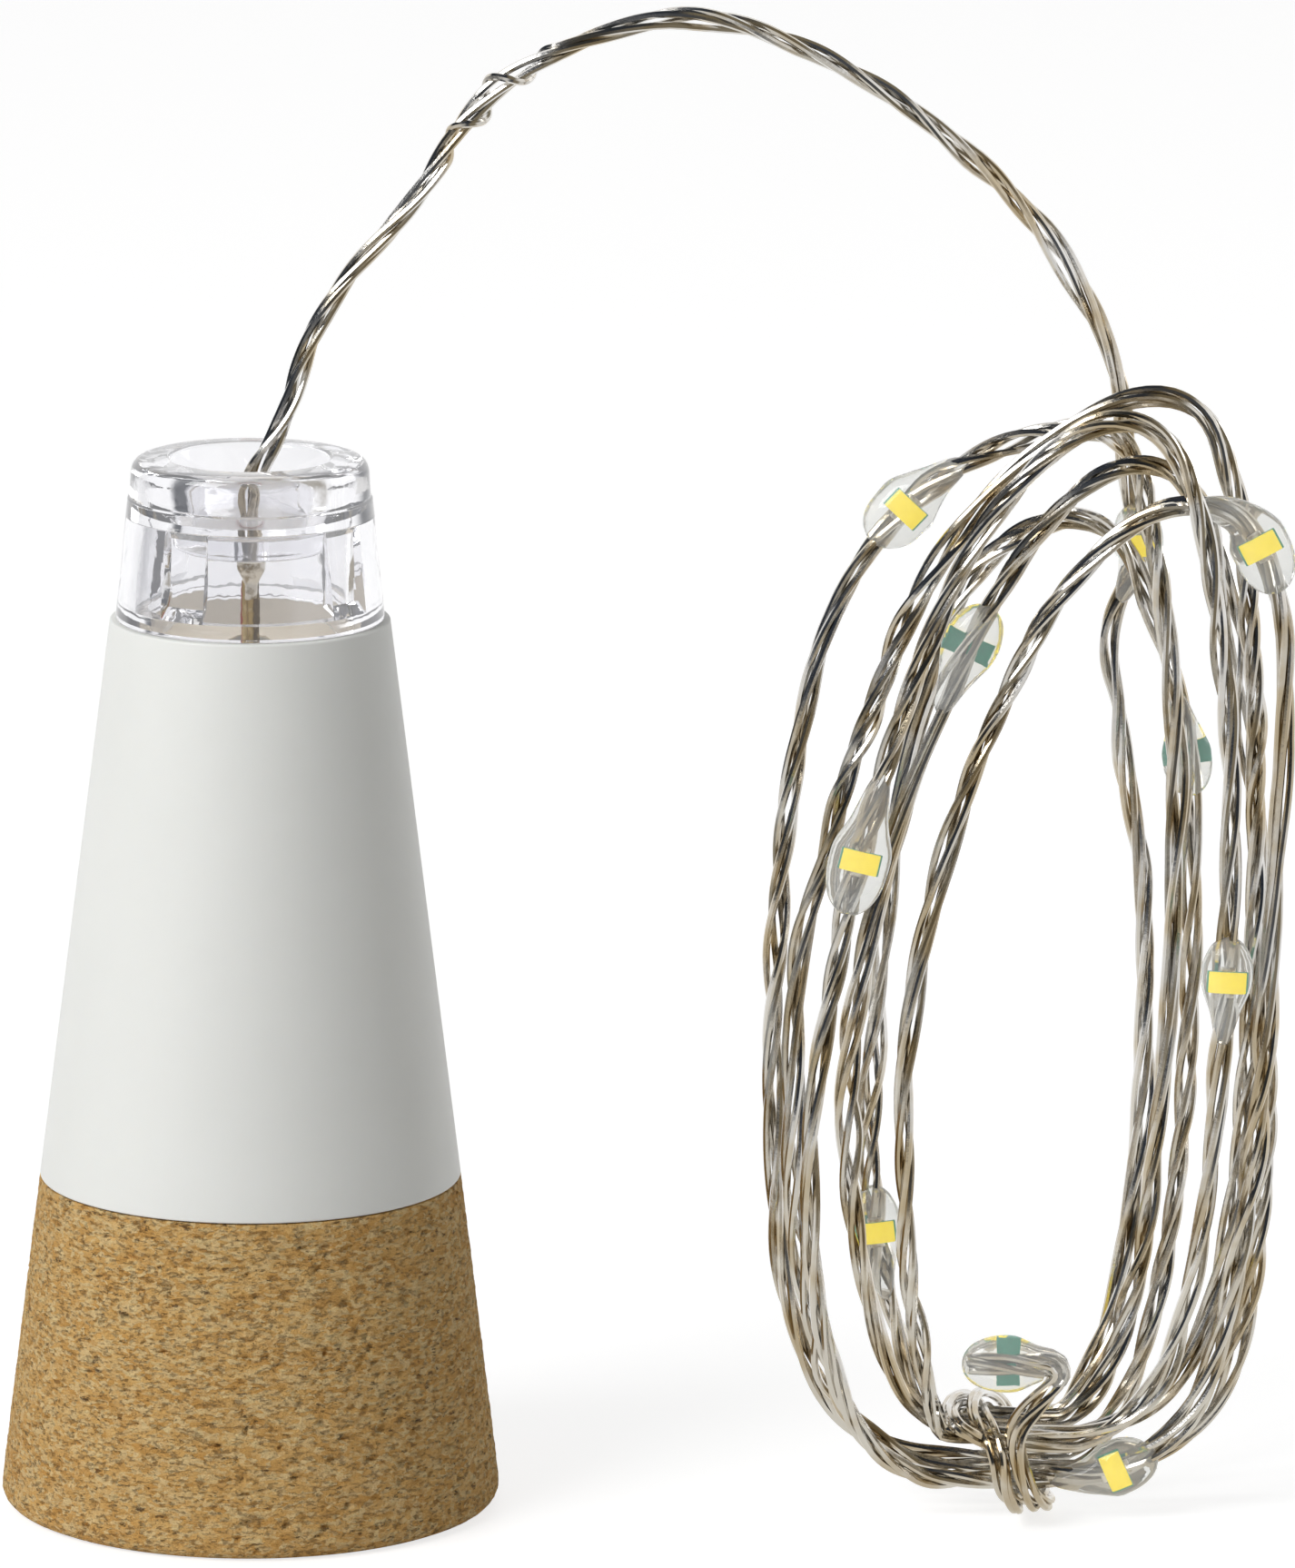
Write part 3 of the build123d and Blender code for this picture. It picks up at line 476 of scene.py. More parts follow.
def pitted(spot, angle):
    """A point of the cork's outside, moved in or out by its crumbs and pits."""
    out = Vector((spot.x, spot.y, 0))
    if out.length < SKIN_RADIUS or spot.z > CORK_TOP - SKIN_EDGE or spot.z < SKIN_EDGE:
        return spot
    flat = Vector((spot.x, spot.y, spot.z * CRUMBS_PRESSED))
    grain = sum(noise.noise(flat * fineness) * tall for fineness, tall in GRAINS)
    pit = max(0, noise.noise(flat * PIT_FINENESS + Vector((9, 3, 1))) - PIT_FROM) * PIT_DEEP
    ease = min(1, (spot.z - SKIN_EDGE) / 0.8, (CORK_TOP - spot.z) / 0.5)
    return spot + out.normalized() * ((grain - pit) * max(0.15, ease) - 0.02)


cork_outline = rounded([(0, 0), (BASE_RADIUS, 0), (CORK_TOP_RADIUS, CORK_TOP), (MOUTH_RADIUS, CORK_TOP),
                        (MOUTH_RADIUS, MOUTH_FLOOR), (CAVITY_RADIUS, MOUTH_FLOOR),
                        (CAVITY_RADIUS, CAVITY_FLOOR), (0, CAVITY_FLOOR)], {1: 1.2, 2: 0.12})
# only the outside, up to the mouth's edge, needs close points
mouth_point = 13
cork = finished(turned(filled(cork_outline, 0.26, mouth_point), 360, pitted), "cork_cap_sleeve",
                ["cork_sleeve"], 50, "cork_cap")

# %% [markdown]
# ## White shell
# The shell is a thin-walled plastic cone, moulded in one piece with a web near its top. The web carries the
# clear tip and lets the three wires through. Its outer edges are only just rounded.

# %% Shell
SHELL_TOP, SHELL_TOP_RADIUS, RECESS_RADIUS = 59.3, 9.15, 7.4
WEB_TOP, WEB_UNDER, WEB_HOLE = 57.6, 56.0, 1.6
shell_outline = rounded([
    (12.37, SEAM_HEIGHT), (SEAM_RADIUS, SEAM_HEIGHT), (SHELL_TOP_RADIUS, SHELL_TOP),
    (RECESS_RADIUS, SHELL_TOP), (RECESS_RADIUS, WEB_TOP), (WEB_HOLE, WEB_TOP), (WEB_HOLE, WEB_UNDER),
    (8.067, WEB_UNDER), (12.135, 23.85), (11.4, 24.45), (11.4, 23.65), (12.168, 23.65)],
    {1: 0.15, 2: 0.2, 3: 0.1})
shell = finished(turned(filled(shell_outline, 3.0), 192), "white_taper", ["body_shell"], 30)

# %% [markdown]
# ## Clear tip
# The tip is two clear mouldings: a skirt with four upright posts inside it, and above the fine line of their
# joint a thick rim with a cup, whose floor the string comes through. Clear pieces need real walls, because
# light bends at each surface. The posts are pushed out of the skirt's own inner wall, so that the wall stays
# one closed skin.

# %% Skirt
POST_ANGLES = (57, 147, 237, 327)
POST_FACE, POST_HALF, POST_SIDE = 6.4, 1.5, 0.12
POST_FOOT, POST_TOP, INNER_WALL = 60.25, 66.15, 7.45


def posts(spot, angle):
    """A point of the skirt's inner wall, moved inward where a post stands."""
    radius = math.hypot(spot.x, spot.y)
    if spot.z < POST_FOOT or radius > INNER_WALL or spot.z > POST_TOP:
        return spot
    for post in POST_ANGLES:
        off = (angle - math.radians(post) + math.pi) % (2 * math.pi) - math.pi
        across = radius * math.sin(off)
        if abs(off) < 1 and abs(across) < POST_HALF:
            depth = min(1, (POST_HALF - abs(across)) / POST_SIDE)
            flat = Vector((math.cos(angle), math.sin(angle), 0))
            return Vector((0, 0, spot.z)) + flat * (radius + (POST_FACE - radius) * depth)
    return spot


skirt_outline = rounded([
    (6.6, 57.62), (7.33, 57.62), (7.33, 59.32), (8.8, 59.32), (8.11, 66.19), (6.81, 66.19), (7.5, 60.2),
    (6.6, 60.2)], {3: 0.15, 4: 0.06})
skirt = finished(turned(filled(skirt_outline, 0.8), 360, posts), "clear_skirt", ["tip_skirt"],
                 28)

# %% Cup
cup_outline = rounded([
    (0.82, 63.92), (5.0, 63.92), (5.5, 66.21), (8.11, 66.21), (7.99, 67.30), (7.86, 67.42), (7.74, 69.95),
    (5.2, 69.95), (4.1, 65.2), (0.82, 65.2)], {1: 0.5, 4: 0.05, 5: 0.05, 6: 1.1, 7: 0.35, 8: 0.5}, 7)
cup = finished(turned(filled(cup_outline, 0.8), 256), "clear_cup", ["tip_cup"], 28)

# %% [markdown]
# ## Wires inside the tip
# Three enamelled wires rise from the board beside the cell, cross over the cell and come up through the web.
# They are stripped, tinned and soldered to the string in a joint that flares out under the cup, where a
# drop of glue holds it. The leads are swept like the string's wires, and the joint and the glue are turned.

# %% Leads
LEAD_RADIUS, LEAD_GAP = 0.22, 0.5
# place from left to right in the web's hole and at the joint
LEAD_ENDS = ((-0.40, -0.34), (0.0, 0.02), (0.40, 0.34))
aslant = Matrix.Rotation(math.radians(-10), 3, "Z")
lead_tubes = []
for index, (low_x, high_x) in enumerate(LEAD_ENDS):
    off = (index - 1) * LEAD_GAP
    lead_route = [aslant @ Vector((7.5, off, z)) for z in (27.6, 33, 40, 47, 53.0)]
    lead_route += [aslant @ Vector((x, off, z)) for x, z in ((7.3, 55.1), (6.3, 55.5), (3, 55.5))]
    lead_route += [Vector((0.9 + low_x * 0.3, off * 0.6 - 0.15, 55.6)), Vector((low_x, off * 0.3, 56.8)),
                   Vector((low_x, off * 0.2, 59.0)), Vector((high_x * 1.25, off * 0.2, 60.6)),
                   Vector((high_x, off * 0.2, 61.8))]
    line, _ = spread(spline_line("lead_route", lead_route), 0.4)
    lead_tubes.append(tube(line, LEAD_RADIUS, 12))
leads = strands("inner_leads", lead_tubes, ["string_leads"], 60)


# %% Joint and glue
def fluted(spot, angle):
    """The joint shows the wires that it ties together."""
    return Vector((spot.x, spot.y * 0.8, 0)) * (1 + 0.16 * math.cos(3 * angle + 0.6)) + Vector((0, 0, spot.z))


def lumpy(spot, angle):
    """Glue sets in soft lumps."""
    return spot + Vector((spot.x, spot.y, 0)) * 0.3 * noise.noise(spot / 0.9)


joint_outline = filled(rounded([(0, 60.6), (0.40, 60.6), (0.46, 61.7), (0.88, 62.7), (0.92, 63.3), (0, 63.3)],
                               {1: 0.1, 4: 0.12}), 0.15)
joint = finished(turned(joint_outline, 48, fluted), "flared_joint", ["solder_joint"], 60)
glue_outline = filled(rounded([(0, 63.2), (1.2, 63.2), (2.4, 63.55), (3.7, 63.78), (3.7, 63.9), (0, 63.9)],
                              {1: 0.3, 2: 0.4}), 0.2)
glue = finished(turned(glue_outline, 48, lumpy), "glue_drop", ["lead_potting"], 60)

# %% [markdown]
# ## Droplets
# Each light is a tiny chip on a green substrate, soldered across the wires and covered by a drop of clear
# resin. The drop is wide at the chip, is drawn out along the wires to one side, and is a little different
# every time. It starts as a ball, whose rings are laid along the string's own line and made wide or slim.

# %% Table of the droplets
# place along the string, chip's side (1 to the viewer), drawn-out end (1 is further along), length, width
DROPLETS = [
    (98.3, 1, 1, 7.0, 1.65), (179.8, 1, -1, 8.0, 1.75), (251.2, -1, -1, 7.4, 1.65), (380.5, 1, 1, 8.4, 2.05),
    (527.5, -1, -1, 8.0, 1.9), (877.0, 1, -1, 9.0, 1.95), (942.5, 1, 1, 7.4, 1.9), (1000.9, 1, 1, 10.0, 2.0),
    (1075.2, 1, 1, 7.4, 1.7), (1190.7, -1, -1, 8.0, 1.9),
]


def at(run):
    """Place and directions on the string at one run, with a facing as near to the viewer as it can be."""
    index = min(int(run / runs[1]), len(centre) - 2)
    spot = centre[index] + (centre[index + 1] - centre[index]) * (run / runs[1] - index)
    way = along[index]
    facing = np.array([0.0, -1.0, 0.0])
    facing = facing - way * np.dot(facing, way)
    facing /= np.linalg.norm(facing)
    return spot, way, np.cross(facing, way), facing


print("droplets", len(DROPLETS), "the first at", at(DROPLETS[0][0])[0].round(1))

# %% Drops of resin
BLUNT_END, DRAWN_END = 0.38, 0.60
SLIM_FROM, SLIMMEST = 0.27, 0.26


def droplet(run, side, tail, length, width):
    """A drop of resin round the string. share tells how far a ring is from the chip."""
    bpy.ops.object.select_all(action="DESELECT")
    bpy.ops.mesh.primitive_uv_sphere_add(segments=28, ring_count=34, radius=1)
    drop = bpy.context.object
    for vertex in drop.data.vertices:
        share = -BLUNT_END + (BLUNT_END + DRAWN_END) * (1 + vertex.co.z) / 2
        spot, way, across, facing = at(run + tail * share * length)
        blunt = math.sqrt(max(0.0, 1 - (abs(share) / BLUNT_END) ** 2.6)) if share < 0 else 1.0
        slim = 1 / (1 + (max(share, 0) / SLIM_FROM) ** 2.2) * (1 - SLIMMEST) + SLIMMEST
        end = math.sqrt(max(0.0, 1 - (max(share, 0) / DRAWN_END) ** 8))
        wide = width * blunt * slim * end
        deep = (0.72 + 0.5 * slim) * blunt ** 0.8 * end
        angle = math.atan2(vertex.co.y, vertex.co.x)
        lift = math.sin(angle) * deep * (1.18 if math.sin(angle) > 0 else 0.95)
        bump = 1 + 0.05 * noise.noise(Vector((run, share * 6, math.sin(angle) * 1.5)))
        vertex.co = Vector(spot + bump * (across * math.cos(angle) * wide + facing * side * lift)) * MM
    return drop


drops = finished(joined([droplet(*row) for row in DROPLETS]), "resin_drops", ["led_droplets"],
                 60)

# %% Chips, their backs and their solder
# lift off the string's line, width across it, length along it, thickness, and a bevel that isn't usual
CHIP_BACK = (0.62, 2.6, 1.45, 0.14)
YELLOW_CHIP = (0.77, 2.4, 1.4, 0.22)
SOLDER_LUMP, SOLDER_SHIFT = (0.50, 0.9, 0.5, 0.22, 0.08), 0.75


def slab(run, side, shift, low, wide, long, thick, soft=0.06):
    """A small block with bevelled edges on the string, facing the viewer or away."""
    bpy.ops.object.select_all(action="DESELECT")
    bpy.ops.mesh.primitive_cube_add(size=MM)
    block = bpy.context.object
    take_up(block)
    bpy.ops.transform.resize(value=(wide, long, thick))
    bpy.ops.mesh.bevel(offset=soft * MM, segments=2)
    bpy.ops.object.mode_set(mode="OBJECT")
    spot, way, across, facing = at(run + shift)
    turn = Matrix([across, way, facing * side]).transposed().to_4x4()
    block.data.transform(Matrix.Translation(Vector(spot + facing * side * (low + thick / 2)) * MM) @ turn)
    return block


green = finished(joined([slab(run, side, 0, *CHIP_BACK) for run, side, *_ in DROPLETS]), "chip_backs",
                 ["led_substrates"], 40)
yellow = finished(joined([slab(run, side, 0, *YELLOW_CHIP) for run, side, *_ in DROPLETS]), "yellow_chips",
                  ["led_chips"], 40)
solder = finished(joined([slab(run, side, shift, *SOLDER_LUMP) for run, side, *_ in DROPLETS
                          for shift in (-SOLDER_SHIFT, SOLDER_SHIFT)]), "chip_solder", (), 60)

# %% [markdown]
# ## Shader maths that reads as maths
# A material here is a small tree of nodes, and so is the sky. One method adds every node, and a node's
# output is wrapped in a class whose operators add Math nodes, so a mask can be written as an ordinary sum.


# %% A node's output
class Term:
    """A node's output. Arithmetic on it adds Math nodes."""

    def __init__(self, nodes, socket):
        self.nodes, self.socket = nodes, socket

    def maths(self, operation, first, second=0.0):
        return self.nodes.node("ShaderNodeMath", {"operation": operation}, {0: first, 1: second})

    def __add__(self, other):
        return self.maths("ADD", self, other)

    def __radd__(self, other):
        return self.maths("ADD", other, self)

    def __sub__(self, other):
        return self.maths("SUBTRACT", self, other)

    def __rsub__(self, other):
        return self.maths("SUBTRACT", other, self)

    def __mul__(self, other):
        return self.maths("MULTIPLY", self, other)

    def __rmul__(self, other):
        return self.maths("MULTIPLY", other, self)

    def __truediv__(self, other):
        return self.maths("DIVIDE", self, other)

    def __rtruediv__(self, other):
        return self.maths("DIVIDE", other, self)

    def root(self):
        return self.maths("SQRT", self)

    def larger(self, other):
        """The larger of two numbers."""
        return self.maths("MAXIMUM", self, other)

    def step(self, low, high):
        """0 at low and 1 at high, smooth between. Low may be the larger number."""
        return self.nodes.node("ShaderNodeMapRange", {"interpolation_type": "SMOOTHSTEP"},
                               {"Value": self, "From Min": low, "From Max": high})


# %% A tree of nodes
class Nodes:
    """A tree of nodes that starts empty."""

    def __init__(self, tree):
        self.tree = tree
        tree.nodes.clear()

    def node(self, kind, settings, sockets, output=0):
        """Adds a node with its settings, then the values or links of its sockets."""
        made = self.tree.nodes.new(kind)
        for setting, value in settings.items():
            setattr(made, setting, value)
        for socket, value in sockets.items():
            if isinstance(value, Term):
                self.tree.links.new(value.socket, made.inputs[socket])
            else:
                made.inputs[socket].default_value = value
        return Term(self, made.outputs[output])

    def mix(self, share, first, second):
        """Between two colours."""
        return self.node("ShaderNodeMix", {"data_type": "RGBA"}, {0: share, 6: first, 7: second}, 2)

    def parts(self, vector):
        """The three numbers of a vector: to the right, to the back and up."""
        split = self.node("ShaderNodeSeparateXYZ", {}, {"Vector": vector})
        return [Term(self, socket) for socket in split.socket.node.outputs]

    def rays(self):
        """Three masks: seen by the camera, mirrored by metal, and seen through a clear piece."""
        return [self.node("ShaderNodeLightPath", {}, {}, ray)
                for ray in ("Is Camera Ray", "Is Glossy Ray", "Is Transmission Ray")]


# %% A material in the making
class Look(Nodes):
    """A material named after what it shows. Its uniform values are given as it is made."""

    def __init__(self, name, **shine):
        self.material = bpy.data.materials.new(name)
        self.material.use_nodes = True
        super().__init__(self.material.node_tree)
        self.shader = self.tree.nodes.new("ShaderNodeBsdfPrincipled")
        for socket, value in shine.items():
            self.shader.inputs[socket.replace("_", " ")].default_value = value
        output = self.tree.nodes.new("ShaderNodeOutputMaterial")
        self.tree.links.new(self.shader.outputs[0], output.inputs["Surface"])
        self.millimetres = self.node("ShaderNodeVectorMath", {"operation": "SCALE"},
                                     {0: self.node("ShaderNodeTexCoord", {}, {}, "Object"), "Scale": 1000})

    def set(self, **terms):
        """Links what varies over the surface to the shader."""
        for socket, term in terms.items():
            self.tree.links.new(term.socket, self.shader.inputs[socket.replace("_", " ")])

    def stretched(self, x, y, z):
        """Object coordinates in millimetres, each one scaled."""
        return self.node("ShaderNodeVectorMath", {"operation": "MULTIPLY"},
                         {0: self.millimetres, 1: (x, y, z)})

    def noise(self, size, detail=3.0, where=None, rough=0.55):
        """Noise from 0 to 1 with features of about that many millimetres."""
        return self.node("ShaderNodeTexNoise", {}, {"Vector": where or self.millimetres, "Scale": 1 / size,
                                                    "Detail": detail, "Roughness": rough})

    def cells(self, size, where):
        """Cells about that many millimetres across, each with a number of its own from 0 to 1."""
        tones = self.node("ShaderNodeTexVoronoi", {}, {"Vector": where, "Scale": 1 / size}, "Color")
        return self.node("ShaderNodeSeparateColor", {}, {"Color": tones})

    def height(self, term, tall):
        """A bump of that many millimetres."""
        self.set(Normal=self.node("ShaderNodeBump", {}, {"Height": term, "Distance": tall * MM}))


# %% Colours, and putting a look on
BLACK, WHITE = (0, 0, 0, 1), (1, 1, 1, 1)


def colour(red, green, blue):
    """A colour as it is read off a picture, 0 to 255, turned into linear light."""
    return tuple((c / 255) ** 2.2 for c in (red, green, blue)) + (1.0,)


def dress(look, *objects):
    """Gives objects this material alone."""
    for made in objects:
        made.data.materials.clear()
        made.data.materials.append(look.material)
    print(look.material.name, "on", ", ".join(made.name for made in objects))


# %% [markdown]
# ## Silvery wire
# The wires are copper with a thin silver coat: bright, a little warm, and drawn out along their length. Metal
# shows mostly what it reflects. The colour drifts a little from silver to pale brown: partly the warm coat,
# partly a painted reflection of the tan cork.

# %% Wire material
wire_look = Look("silvery_wire", Metallic=1.0)
# silver drifting to pale brown in patches: partly the warm coat, partly painted reflection of the tan cork
warm_coat_and_cork_reflection = wire_look.noise(5.0).step(0.38, 0.66)
wire_look.set(Base_Color=wire_look.mix(warm_coat_and_cork_reflection, colour(222, 220, 216), colour(191, 177, 151)),
              Roughness=wire_look.noise(0.8) * 0.10 + 0.10)
wire_look.height(wire_look.noise(0.25), 0.006)
dress(wire_look, string)

# %% [markdown]
# ## Cork's colour
# Cork crumbs are tan, from straw to reddish brown, with dark bark specks and pale fresh faces. Cells of two
# sizes, flattened because the crumbs were pressed, give each crumb a tone of its own. Over them lie three
# masks of rough noise: brown painted shade where the relief dips, dark specks and pale flakes. A picture of
# cork would show a seam on the taper, and noise has none.

# %% Cork material
cork_look = Look("pressed_cork")
pressed = cork_look.stretched(1.0, 1.0, 2.1)
swirl = cork_look.node("ShaderNodeTexNoise", {}, {"Vector": pressed, "Scale": 1.3, "Detail": 2}, "Color")
wobble = cork_look.node("ShaderNodeVectorMath", {"operation": "ADD"}, {0: pressed, 1: swirl})
crumbs, chips = cork_look.cells(1.3, wobble), cork_look.cells(0.55, wobble)
fine = cork_look.noise(0.35, 5.0, pressed, 0.65)
base = cork_look.mix(crumbs, colour(226, 168, 88), colour(248, 198, 120))
base = cork_look.mix((chips * 0.9 + fine * 0.8 - 0.35).step(0.3, 1.0), base, colour(255, 220, 156))
# painted shade: brown patches, darkened in the colour where the relief dips
painted_hollow_shade = cork_look.noise(0.55, 5.0, cork_look.stretched(1.0, 1.0, 2.4), 0.7).step(0.53, 0.66)
base = cork_look.mix(painted_hollow_shade * 0.45, base, colour(142, 90, 42))
specks = cork_look.noise(1.0, 5.0, cork_look.stretched(1.0, 1.0, 2.6), 0.7).step(0.61, 0.67)
base = cork_look.mix(specks * 0.75, base, colour(86, 54, 24))
pale = cork_look.noise(1.1, 4.0, cork_look.stretched(1.1, 1.1, 2.4)).step(0.56, 0.66)
base = cork_look.mix(pale * 0.6, base, colour(255, 226, 162))
cork_look.set(Base_Color=base, Roughness=fine * 0.2 + 0.72)
relief = fine * 0.9 + cork_look.noise(0.16, 2.0) * 0.3 - painted_hollow_shade * 0.5 - specks * 0.6 + chips * 0.25
cork_look.height(relief, 0.50)
dress(cork_look, cork)

# %% [markdown]
# ## White shell's finish
# The shell is warm white plastic with a soft sheen, faint orange-peel and the odd trace of handling. In the
# recess under the clear tip the web is painted beige, as painted shade, because little light gets there. A
# mask of height and radius finds the recess, and a faint glow there stands for the light that the clear tip
# lets in.

# %% Shell material
RECESS_EDGE = (7.6 ** 2, 7.3 ** 2)
shell_look = Look("warm_white_shell", Specular_IOR_Level=0.4, Subsurface_Weight=0.05, Emission_Strength=1.0)
shell_look.shader.inputs["Subsurface Radius"].default_value = (0.001, 0.0008, 0.0006)
aside, away, tall = shell_look.parts(shell_look.millimetres)
shade = shell_look.mix(shell_look.noise(9.0, 4.0), colour(238, 239, 235), colour(232, 233, 229))
recess_shade_and_glow = tall.step(57.5, 57.58) * (aside * aside + away * away).step(*RECESS_EDGE)
# painted shade: the web in the recess is darkened to beige in the colour
shade = shell_look.mix(recess_shade_and_glow * 0.7, shade, colour(206, 194, 172))
shell_look.set(Base_Color=shade, Emission_Color=shell_look.mix(recess_shade_and_glow, BLACK, (0.27, 0.24, 0.19, 1)),
               Roughness=shell_look.noise(2.5, 4.0) * 0.12 + 0.36)
shell_look.height(shell_look.noise(0.7, 2.0), 0.004)
dress(shell_look, shell)

# %% [markdown]
# ## Clear plastic and resin
# Both are glass-like: light passes through and bends. The plastic has fine flow marks and is frosted under
# the cup, where the glue sits. The resin is slightly milky, so only most of the light passes. Both glow very
# faintly, because Blender's lamps don't reach through clear walls as daylight does.

# %% Clear plastic
CUP_UNDER = 64.0
clear_look = Look("clear_plastic", Transmission_Weight=1.0, IOR=1.48, Emission_Strength=0.04)
tint = clear_look.mix(clear_look.noise(4.0), colour(243, 243, 245), colour(235, 235, 238))
aside, away, tall = clear_look.parts(clear_look.millimetres)
frosted = tall.step(CUP_UNDER - 0.25, CUP_UNDER - 0.10) * tall.step(CUP_UNDER + 0.15, CUP_UNDER)
frosted = frosted * (aside * aside + away * away).step(27.0, 24.0)
clear_look.set(Base_Color=clear_look.mix(frosted * 0.5, tint, colour(190, 189, 196)), Emission_Color=tint,
               Roughness=clear_look.noise(2.0).step(0.5, 0.9) * 0.08 + frosted * 0.3 + 0.025)
clear_look.height(clear_look.noise(1.6, 2.0), 0.02)
dress(clear_look, skirt, cup)

# %% Clear resin
resin_look = Look("clear_resin", Transmission_Weight=0.82, IOR=1.33, Emission_Strength=0.07)
milk = resin_look.mix(resin_look.noise(1.5), colour(242, 241, 237), colour(226, 228, 227))
resin_look.set(Base_Color=milk, Emission_Color=milk,
               Roughness=resin_look.noise(1.0).step(0.5, 0.9) * 0.1 + 0.02)
resin_look.height(resin_look.noise(1.1, 2.0), 0.05)
dress(resin_look, drops)

# %% [markdown]
# ## Chips, solder, leads and glue
# The chip's phosphor is bright yellow with a grainy face, its substrate teal green. Solder is dull grey with
# darker flux. The leads are enamelled, olive in the middle, red on the left and dark on the right, and the
# glue is milky, with a reddish stain round the joint. All of them sit in clear pieces, where little light
# gets in, so each glows a little in its own colour.

# %% Chips and their backs
yellow_look = Look("yellow_phosphor", Roughness=0.5, Coat_Weight=0.3, Emission_Strength=0.80)
grains = yellow_look.mix(yellow_look.noise(0.3), colour(240, 218, 12), colour(226, 200, 6))
yellow_look.set(Base_Color=grains, Emission_Color=grains)
yellow_look.height(yellow_look.noise(0.12), 0.01)
dress(yellow_look, yellow)
green_look = Look("green_substrate", Roughness=0.4, Emission_Strength=0.25)
laminate = green_look.mix(green_look.noise(0.5), colour(40, 156, 130), colour(28, 132, 112))
green_look.set(Base_Color=laminate, Emission_Color=laminate)
green_look.height(green_look.noise(0.2), 0.008)
dress(green_look, green)

# %% Solder
solder_look = Look("dull_solder", Metallic=0.9, Emission_Strength=0.15)
tinned = solder_look.mix(solder_look.noise(0.5).step(0.4, 0.7), colour(228, 224, 216), colour(150, 136, 112))
solder_look.set(Base_Color=tinned, Emission_Color=tinned, Roughness=solder_look.noise(0.4) * 0.3 + 0.2)
solder_look.height(solder_look.noise(0.3), 0.03)
dress(solder_look, solder, joint)

# %% Enamel of the leads
lead_look = Look("enamelled_lead", Metallic=0.4, Roughness=0.35, Emission_Strength=0.16)
aside, _, _ = lead_look.parts(lead_look.millimetres)
enamel = lead_look.mix(aside.step(-0.50, -0.56), colour(172, 148, 96), colour(150, 30, 34))
enamel = lead_look.mix(aside.step(0.20, 0.30), enamel, colour(92, 78, 56))
enamel = lead_look.mix(lead_look.noise(0.8).step(0.5, 0.7) * 0.4, enamel, colour(224, 208, 166))
lead_look.set(Base_Color=enamel, Emission_Color=enamel)
lead_look.height(lead_look.noise(0.3), 0.01)
dress(lead_look, leads)

# %% Glue
glue_look = Look("milky_glue", Roughness=0.35, Subsurface_Weight=0.3, Transmission_Weight=0.3,
                 Emission_Strength=0.35)
milky = glue_look.mix(glue_look.noise(0.6), colour(240, 238, 234), colour(214, 210, 204))
aside, away, _ = glue_look.parts(glue_look.millimetres)
milky = glue_look.mix((aside * aside + away * away).step(1.3, 0.7), milky, colour(142, 84, 74))
glue_look.set(Base_Color=milky, Emission_Color=milky)
glue_look.height(glue_look.noise(0.4), 0.03)
dress(glue_look, glue)

# %% [markdown]
# ## Parts that show when the cap is pulled off
# The cap's liner, the rotor, the plug and the rest stay as packed. They get plain but real finishes: satin
# mouldings with a fine grain, brushed nickel, sprung bronze, gold, board lacquer, foam and shrink sleeve.
# One function makes the plastics and one the metals.


# %% Inner finishes
def moulded(name, first, second, rough, size=0.5, tall=0.006, **shine):
    """Plastic, rubber or foam: two near tones and a fine grain."""
    look = Look(name, **shine)
    look.set(Base_Color=look.mix(look.noise(3.0, 4.0), colour(*first), colour(*second)),
             Roughness=look.noise(1.5) * 0.15 + rough)
    look.height(look.noise(size), tall)
    return look


def brushed(name, first, second, rough):
    """Metal with marks drawn out upright."""
    look = Look(name, Metallic=1.0)
    strokes = look.noise(1.2, 4.0, look.stretched(14.0, 14.0, 1.0))
    look.set(Base_Color=look.mix(strokes, colour(*first), colour(*second)), Roughness=strokes * 0.2 + rough)
    look.height(strokes, 0.004)
    return look


NODE_LOOKS = {
    "liner_plastic": moulded("satin_moulding", (226, 226, 222), (218, 218, 213), 0.4),
    "black_plastic": moulded("black_moulding", (34, 34, 36), (28, 28, 30), 0.4),
    "bronze": brushed("sprung_bronze", (214, 168, 104), (186, 138, 80), 0.25),
    "screw_steel": brushed("zinc_plate", (206, 206, 204), (176, 178, 180), 0.3),
    "board_green": moulded("board_lacquer", (26, 92, 48), (20, 78, 40), 0.25, 0.8, 0.01, Coat_Weight=0.4),
    "gold": brushed("gold_plate", (236, 200, 110), (220, 180, 90), 0.2),
    "plug_steel": brushed("nickel_sheet", (222, 222, 220), (196, 198, 200), 0.22),
    "chip_black": moulded("chip_package", (30, 30, 32), (40, 40, 42), 0.5),
    "cell_wrap": moulded("shrink_sleeve", (60, 112, 160), (52, 100, 148), 0.25, Coat_Weight=0.3),
    "nickel": brushed("nickel_strip", (214, 210, 202), (188, 184, 176), 0.3),
    "lead_red": moulded("red_sleeving", (176, 22, 20), (160, 18, 18), 0.4),
    "foam": moulded("dark_foam", (58, 58, 60), (44, 44, 46), 0.8, 0.35, 0.08),
}

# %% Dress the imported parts
slots = {part["node"]: part["material_slot"] for part in frame["record"]["subparts"]}
for slot, look in NODE_LOOKS.items():
    dress(look, *[made for name, made in frame["nodes"].items() if slots.get(name) == slot])

# %% [markdown]
# ## Floor, light and sky
# The object stands on a plain pale floor in a bright studio. What the camera sees behind it is white, and so
# is what the clear pieces show. Metal needs something dark to reflect, or it looks like white plastic. So
# in front, where the camera and the dark room would be, it sees a room that is near black on the left,
# olive half right and white on the far right. On the floor that room is measured from under the hank, and
# two paler patches, one on the left and one close to the hank's foot, brighten the low strands.

